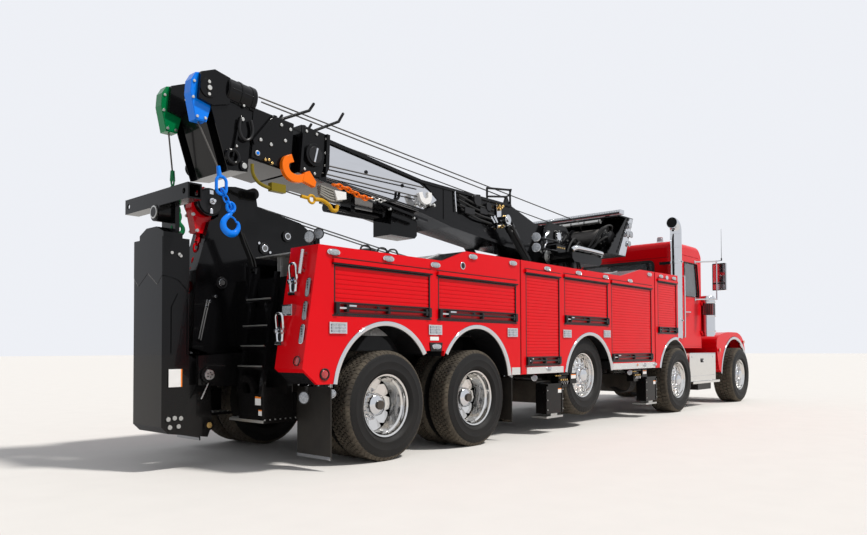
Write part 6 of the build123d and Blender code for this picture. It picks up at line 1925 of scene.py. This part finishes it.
def makeDeckHoses():
    # Black hoses and handles kept on the rear deck
    shape = bmesh.new()
    for k in range(6):
        y = -0.34 - 0.045 * k
        loop = [(0.18 + 0.03 * k, y, 1.975), (0.24, y, 2.06), (0.36, y - 0.01, 2.1), (0.52, y, 2.075),
                (0.62 - 0.02 * k, y, 2.0), (0.5, y, 1.972), (0.3, y, 1.968)]
        addSmooth(shape, loop, 5, 0.016, 0, 10)
    for x in (0.2, 0.44, 0.6):
        hoop = atY(-0.64, [(x, 1.965), (x, 2.09), (x + 0.05, 2.125), (x + 0.13, 2.11), (x + 0.17, 1.965)])
        addSmooth(shape, hoop, 4, 0.01, 1, 8)
    addBox(shape, 0.16, 0.7, -0.68, -0.28, 1.962, 1.972, 2)
    makePiece("deck_hoses", shape, ["hoseRubber", "blackLacquer", "blackPaint"], "truck", True)


def makeDeckEdges():
    # Rails along the deck's inner edge
    shape = bmesh.new()
    edge = deckSettings["top"]
    for (xa, za), (xb, zb) in zip(edge[1:4], edge[2:5]):
        addTube(shape, [(xa, -0.905, za + 0.006), (xb, -0.905, zb + 0.006)], 0.008, 0, 8)
    makePiece("deck_edges", shape, ["satinAlloy"], "truck", True)


def makeStacks():
    # Chrome pipes with a mouth that faces back, held by bands
    pipeR, mouthZ = 0.0955, 3.183
    x, y = 7.03, -1.15
    shape = bmesh.new()
    addLathe(shape, [(pipeR, -1.77), (pipeR, 0.0)], (x, y, 3.0), (0, 0, 1), 40, 0)
    addSmooth(shape, atY(y, [(x, 3.0), (x, 3.06), (x - 0.012, 3.11), (x - 0.04, 3.15), (x - 0.085, 3.176),
                             (x - 0.15, mouthZ)]), 6, pipeR, 0, 40)
    addRod(shape, (x - 0.15, y, mouthZ), (x - 0.162, y, mouthZ), pipeR, 0, 40)
    # A near-black disc in the mouth: painted shade inside the pipe
    addRod(shape, (x - 0.158, y, mouthZ), (x - 0.1635, y, mouthZ), 0.0885, 2, 40)
    for z in (1.33, 1.72, 2.11, 2.78):
        addLathe(shape, [(pipeR, z - 0.014), (0.0985, z - 0.012), (0.0985, z + 0.012),
                         (pipeR, z + 0.014)], (x, y, 0), (0, 0, 1), 40, 1)
    for z in (1.5, 2.5):
        addBox(shape, x, 7.1497, -1.15, -0.85, z, z + 0.05, 0)
        addLathe(shape, [(pipeR, z - 0.004), (0.1, z), (0.1, z + 0.05), (pipeR, z + 0.054)], (x, y, 0),
                 (0, 0, 1), 32, 0)
        addRod(shape, (x - 0.02, y - 0.108, z + 0.025), (x + 0.02, y - 0.108, z + 0.025), 0.01, 0, 8)
    piece = makePiece("exhaust_pipes", shape, ["chrome", "mirrorSteel", "darkHole"], "truck",
                      True, angle=45)
    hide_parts("exhaust_stacks")


def makeCabSeams():
    # Window rubber, rivets and a seam on the cab
    shape = bmesh.new()
    outline = [Vector((7.1475, a, b)) for a, b in [(p[0], 2.285 + p[1]) for p in roundedRect(0.69, 0.305,
                                                                                             0.075, 6)]]
    addTube(shape, outline, 0.0, 0, 10, closed=True, flat=(0.022, 0.01))
    rivets = [(7.1495, -0.9 + 0.06 * k, 2.7) for k in range(31)]
    addStuds(shape, rivets, (-1, 0, 0), "redPaint", 1, Radius=0.007, Height=0.003)
    side = [(7.3 + 0.06 * k, -1.0405, 2.76) for k in range(4)]
    for s in (-1, 1):
        addStuds(shape, [(a, b * -s, c) for a, b, c in side], (0, s, 0), "redPaint", 1, Radius=0.007,
                 Height=0.003)
    addBox(shape, 7.146, 7.1495, -0.98, 0.98, 2.64, 2.644, 2)
    makePiece("cab_seams", shape, ["hoseRubber", "redPaint", "darkHole"], "truck")


def makeRoofLamps():
    # Beacons, marker lamps and horns on the roof
    lampZ, lampR, beaconFoot = 2.943, 0.0235, 2.962
    shape = bmesh.new()
    addLathe(shape, [(0.066, 2.925), (0.066, 2.948), (0.06, beaconFoot), (0.056, 2.964)], (7.42, -0.7, 0),
             (0, 0, 1), 32, 0)
    addLathe(shape, [(0.0555, beaconFoot), (0.0545, 3.0), (0.05, 3.034), (0.034, 3.045), (0.001, 3.048)],
             (7.42, -0.7, 0), (0, 0, 1), 32, 1)
    for y in (-0.64, -0.32):
        addTube(shape, atY(y, [(8.195, lampZ), (8.1, 2.944), (8.055, 2.938)]), lampR, 0, 14)
        addDome(shape, (8.19, y, lampZ), (1, 0, 0), 0.0225, 0.022, 2, 18, 4)
    addSmooth(shape, atY(-0.42, [(7.66, 2.952), (7.9, 2.96), (8.02, 2.966)]), 5, 0.018, 0, 14)
    addLathe(shape, [(0.02, -0.07), (0.026, -0.03), (0.05, 0.004), (0.046, 0.006), (0.001, -0.02)],
             (8.08, -0.42, 2.975), (1, 0, 0), 28, 0)
    addBox(shape, 7.72, 7.76, -0.44, -0.4, 2.925, 2.96, 0)
    makePiece("roof_lamps", shape, ["chrome", "clearLens", "amberLens"], "truck", True)


def makeMiddleLamp():
    lampZ, lampR = 2.943, 0.0235
    shape = bmesh.new()
    addTube(shape, atY(0, [(8.19, lampZ), (8.1, 2.944), (8.055, 2.938)]), lampR, 0, 14)
    addDome(shape, (8.19, 0, lampZ), (1, 0, 0), 0.0225, 0.022, 1, 18, 4)
    makePiece("roof_lamp_middle", shape, ["chrome", "amberLens"], "truck")


def makeCabHandles():
    # Grab rails and hinge pins
    railX = 7.5
    shape = bmesh.new()
    addSmooth(shape, [(railX, -1.045, 1.25), (railX, -1.095, 1.27), (railX, -1.105, 1.33),
                      (railX, -1.105, 2.25), (railX, -1.095, 2.31), (railX, -1.045, 2.33)], 4, 0.014, 0,
              12)
    for z in (1.25, 2.33):
        addRod(shape, (railX, -1.04, z), (railX, -1.047, z), 0.03, 0, 20)
    for x in (7.2, 8.56):
        addRod(shape, (x, -1.0 if x < 8 else -0.915, 1.2), (x, -1.01 if x < 8 else -0.925, 1.2), 0.012, 0,
               10)
    makePiece("cab_handles", shape, ["chrome"], "truck", True)


def makeDoorTrim(name, s):
    # Mirror, its arms, the aerial, handle and window rubber that move with one door
    armX, armR, aerialX, aerialY, mirrorY = 8.33, 0.0135, 8.3, 1.47, 1.41
    shape = bmesh.new()
    for z in (1.95, 2.64):
        addRod(shape, (8.15, 1.034 * s, z), (armX, 1.37 * s, z), armR, 0, 14)
        addRod(shape, (8.15, 1.04 * s, z), (8.15, 1.046 * s, z), 0.03, 0, 18)
    addRod(shape, (armX, 1.37 * s, 1.934), (armX, 1.37 * s, 2.656), armR, 0, 14)
    addPrism(shape, [(mirrorY * s + a, 2.355 + b) for a, b in roundedRect(0.1185, 0.246, 0.02, 4)], "x",
             8.3275, 8.336, 1)
    addPrism(shape, [(mirrorY * s + a, 2.415 + b) for a, b in roundedRect(0.106, 0.168, 0.014, 4)], "x",
             8.3255, 8.329, 2)
    addPrism(shape, [(mirrorY * s + a, 2.172 + b) for a, b in roundedRect(0.106, 0.05, 0.014, 4)], "x",
             8.3255, 8.329, 2)
    addRod(shape, (aerialX, aerialY * s, 2.64), (aerialX, aerialY * s, 2.69), 0.012, 1, 10)
    addTube(shape, [(armX, 1.375 * s, 2.645), (aerialX, aerialY * s, 2.645)], 0.008, 0, 8)
    addRod(shape, (aerialX, aerialY * s, 2.685), (aerialX, aerialY * s, 3.22), 0.0045, 1, 6,
           endRadius=0.002)
    addSmooth(shape, [(7.66, 1.041 * s, 1.7), (7.675, 1.072 * s, 1.7), (7.76, 1.078 * s, 1.702),
                      (7.845, 1.072 * s, 1.704), (7.86, 1.041 * s, 1.704)], 4, 0.0, 0, 8,
              flat=(0.014, 0.008))
    pane = [(7.64, 1.99), (7.64, 2.6), (8.24, 2.6), (8.33, 2.08), (8.33, 1.99)]
    addTube(shape, [Vector((a, 1.0405 * s, b)) for a, b in pane], 0.0, 1, 8, closed=True,
            flat=(0.012, 0.004))
    makePiece("door_trim_" + name, shape, ["chrome", "hoseRubber", "mirrorSteel"], "door_" + name)


def makeDoorTrims():
    makeDoorTrim("left", 1)
    makeDoorTrim("right", -1)


def makeCleaners():
    # Chrome ends and bands round a pierced middle, whose near-black band under the chrome bars is painted
    # shade in the piercings
    x, y = 8.6, -1.1
    shape = bmesh.new()
    addLathe(shape, [(0.001, 2.032), (0.11, 2.032), (0.114, 2.028), (0.128, 2.002), (0.1325, 1.985),
                     (0.1325, 1.935)], (x, y, 0), (0, 0, 1), 48, 0)
    addLathe(shape, [(0.1305, 1.66), (0.1312, 1.665), (0.1312, 1.885), (0.1305, 1.89)], (x, y, 0),
             (0, 0, 1), 48, 1)
    for z in (1.36, 1.64, 1.9):
        addLathe(shape, [(0.134, z - 0.002), (0.1365, z + 0.003), (0.1365, z + 0.025), (0.134, z + 0.03)],
                 (x, y, 0), (0, 0, 1), 48, 0)
        addRod(shape, (x - 0.02, y - 0.137, z + 0.014), (x + 0.03, y - 0.137, z + 0.014), 0.008, 0, 8)
    for c, s in circle(24):
        a, b = x + 0.1315 * c, y + 0.1315 * s
        addBox(shape, a - 0.003, a + 0.003, b - 0.003, b + 0.003, 1.668, 1.882, 2)
    addSmooth(shape, [(x, y + 0.1, 1.98), (x, y + 0.19, 1.94), (x + 0.01, -0.86, 1.88)], 5, 0.055, 0, 20)
    makePiece("air_cleaner_bands", shape, ["chrome", "darkHole", "chrome"], "truck", True,
              angle=45)


def makeHoodTrim():
    # Chrome arch bands, turn signals, side louvres, latches and the hood's crown strip
    shape = bmesh.new()
    addArchTrim(shape, 9.8, 0.52, 0.7615, 29.0, 176.0, -1.18)
    for x, z in ((8.93, 1.02), (10.3, 1.18)):
        addRoundLamp(shape, (x, -1.205, z), (0, -1, 0), 0.034, 0.024, 0, 1)
    # Near-black boxes for the side louvres: painted shade in their slots
    for k in range(7):
        x = 9.12 + 0.075 * k
        y = -0.646 + 0.117 * (x - 8.78)
        addBox(shape, x, x + 0.012, y - 0.006, y + 0.01, 1.42, 1.74, 2)
    addTube(shape, smoothPath(atY(0, [(8.8, 2.021), (9.6, 1.952), (10.38, 1.884)]), 3), 0.0, 0, 10,
            flat=(0.016, 0.006))
    for x in (8.98, 10.2):
        y = -0.667 + 0.117 * (x - 8.78)
        addBox(shape, x, x + 0.05, y - 0.016, y + 0.006, 1.4, 1.5, 0)
    makePiece("hood_trim", shape, ["chrome", "amberLens", "darkHole"], "hood", True)


def makeGrille():
    # Grille mesh and surround, and headlamp lenses
    lampZ = 1.12
    shape = bmesh.new()
    # A near-black plate behind the bars: painted shade behind the grille
    addBox(shape, 10.402, 10.404, -0.415, 0.415, 1.1, 1.81, 0)
    for k in range(24):
        z = 1.105 + 0.03 * k
        addBox(shape, 10.4055, 10.4095, -0.41, 0.41, z, z + 0.006, 1)
    addTube(shape, [Vector((10.4475, a, 1.4625 + b)) for a, b in roundedRect(0.44, 0.398, 0.03, 4)], 0.0,
            1, 10, closed=True, flat=(0.014, 0.01))
    for side in (-1, 1):
        addRoundLamp(shape, (10.463, 0.76 * side, lampZ), (1, 0, 0), 0.066, 0.02, 1, 2)
        addRoundLamp(shape, (10.449, 0.655 * side, lampZ), (1, 0, 0), 0.03, 0.012, 1, 3)
        addRoundLamp(shape, (10.449, 0.865 * side, lampZ), (1, 0, 0), 0.03, 0.012, 1, 3)
    makePiece("front_details", shape, ["darkHole", "chrome", "clearLens", "amberLens"], "hood")


def makeStepTrim():
    # Treads, edges and fittings on the step boxes
    boxFace = -1.199
    shape = bmesh.new()
    for z in (0.56, 0.95):
        addBox(shape, 7.46, 8.68, -1.2035, boxFace, z, z + 0.006, 1)
    for k in range(12):
        x = 7.5 + 0.1 * k
        addBox(shape, x, x + 0.06, -1.256, -1.196, 0.4705, 0.4735, 0)
    addBox(shape, 7.46, 8.68, -1.205, boxFace, 0.957, 0.972, 1)
    addBox(shape, 7.98, 8.06, -1.214, boxFace, 0.8, 0.87, 2)
    addRod(shape, (8.02, -1.214, 0.835), (8.02, -1.222, 0.835), 0.016, 1, 16)
    for x in (7.55, 8.55):
        addRod(shape, (x, -1.2, 0.9), (x, -1.208, 0.9), 0.012, 1, 8)
    addBox(shape, 8.02, 8.66, -1.12, -0.72, 0.3, 0.4295, 2)
    makePiece("step_trim", shape, ["satinAlloy", "chrome", "blackLacquer"], "truck",
              True, bevel=0.003)


# Outriggers and what hangs under the body
def makeOutriggerGear():
    frameHalf = 0.195
    for pair, x in (("rear", 2.87), ("front", 5.67)):
        for name, s in (("left", 1), ("right", -1)):
            shape = bmesh.new()
            face = 1.2905 * s
            out = face + 0.006 * s
            for a, b in ((-frameHalf, -0.16), (0.16, frameHalf)):
                addBox(shape, x + a, x + b, *sorted((face, out)), 0.255, 0.615, 0)
            addBox(shape, x - frameHalf, x + frameHalf, *sorted((face, out)), 0.59, 0.618, 0)
            for a in (-0.178, 0.178):
                for z in (0.3, 0.42, 0.54):
                    addPin(shape, x + a, out, z, 0.008 * s, 0.009, 1, 6)
            addDecal(shape, (x + 0.02 - 0.06 * s, face, 0.5), (s * -1.0, 0, 0), (0, 0, 1), 0.1, 0.055,
                     0.0015, 2, 3)
            makePiece("outrigger_trim_%s_%s" % (pair, name), shape,
                      ["blackPaint", "zincSteel", "whitePlate", "orangePlate"],
                      "outrigger_beam_%s_%s" % (pair, name))


def makeValveGear():
    # Valve blocks with hoses, round lamps on stalks and control boxes
    shape = bmesh.new()
    for x in (3.17, 5.3):
        addBox(shape, x - 0.1, x + 0.1, -1.23, -1.12, 0.56, 0.7, 0)
        addBox(shape, x - 0.13, x + 0.13, -1.25, -1.08, 0.715, 0.735, 0)
        for k in range(4):
            a = x - 0.072 + 0.048 * k
            addRod(shape, (a, -1.175, 0.7), (a, -1.175, 0.712), 0.016, 1, 8)
            addRod(shape, (a, -1.23, 0.655), (a, -1.25, 0.655), 0.013, 1, 8)
            addSmooth(shape, [(a, -1.17, 0.565), (a, -1.165, 0.5), (a - 0.03, -1.12, 0.42),
                              (a - 0.05, -1.0, 0.4), (a - 0.05, -0.85, 0.46)], 5, 0.012, 2, 8)
            addRod(shape, (a, -1.25, 0.6), (a, -1.262, 0.64), 0.006, 3, 8)
        addDecal(shape, (x + 0.15, -1.262, 0.665), (1, 0, 0), (0, 0, 1), 0.12, 0.055, 0.0015, 4, 5)
        addBox(shape, x + 0.13, x + 0.29, -1.2615, -1.1, 0.6, 0.735, 0)
    for x, z in ((-0.829 + 0.13, 0.665), (2.5, 0.7), (5.06, 0.7)):
        addRoundLamp(shape, (x, -1.235, z), (-0.6, -1, 0), 0.04, 0.035, 3, 6)
        addRod(shape, (x + 0.01, -1.215, z + 0.03), (x + 0.01, -1.205, 0.752), 0.008, 0, 8)
    makePiece("valve_gear", shape, ["blackPaint", "brass", "hoseRubber", "chrome", "whitePlate",
                                    "orangePlate", "clearLens"], "truck", True)


def makeFlapBars():
    # Chrome bars that hold the mudflaps
    shape = bmesh.new()
    for x, inner, low in ((-0.75, 0.83, 0.095), (1.95, 1.0, 0.21)):
        addBox(shape, x - 0.012, x + 0.012, -1.29, -inner, 0.722, 0.752, 0)
        for k in range(4):
            y = -1.27 + (1.25 - inner) * k / 3
            addRod(shape, (x - 0.012, y, 0.737), (x - 0.02, y, 0.737), 0.008, 0, 6)
        addBox(shape, x - 0.008, x + 0.008, -1.288, -inner - 0.002, low, low + 0.028, 0)
    makePiece("flap_bars", shape, ["chrome"], "truck", True)


stages = {
    "wheels": (makeWheels,),
    "body sides": (
        makeShutters, makeDoorFrames, makeLiftBars, makeSideLamps, makeSidePlates, makeArchTrims,
        makeKickStrips, makeSeams,
    ),
    "tail": (
        makeTailLamps, makeShackleHolders, makeTailGear, makeTailSteps, makeTailStrap, makeMast,
        makeMastBlock, makeMastHook, makeUnderliftDetails, makeCrossbarPin, makeGreenHook,
    ),
    "boom": (
        makeBoomSides, makeBaseCollar, makeStageCollar, makeBoomHead, makeBlocks, makeRopeRuns,
        makeLongRopes, makeOrangeGuard, makeYellowHook, makeStrapBundle, makeOrangeChain,
        makeWhiteGuard, makeBoomRails, makeHoseReel,
    ),
    "turret": (makeBayPanels, makeWinchRope, makeBayHoses, makeTurretGear, makeLightBar, makeLiftHoses),
    "deck": (makeDeckHoses, makeDeckEdges),
    "cab and hood": (
        makeStacks, makeCabSeams, makeRoofLamps, makeMiddleLamp, makeCabHandles, makeDoorTrims,
        makeCleaners, makeHoodTrim, makeGrille, makeStepTrim,
    ),
    "outriggers and under gear": (makeOutriggerGear, makeValveGear, makeFlapBars),
}
for stage, makers in stages.items():
    for maker in makers:
        maker()
    print(stage, "done")
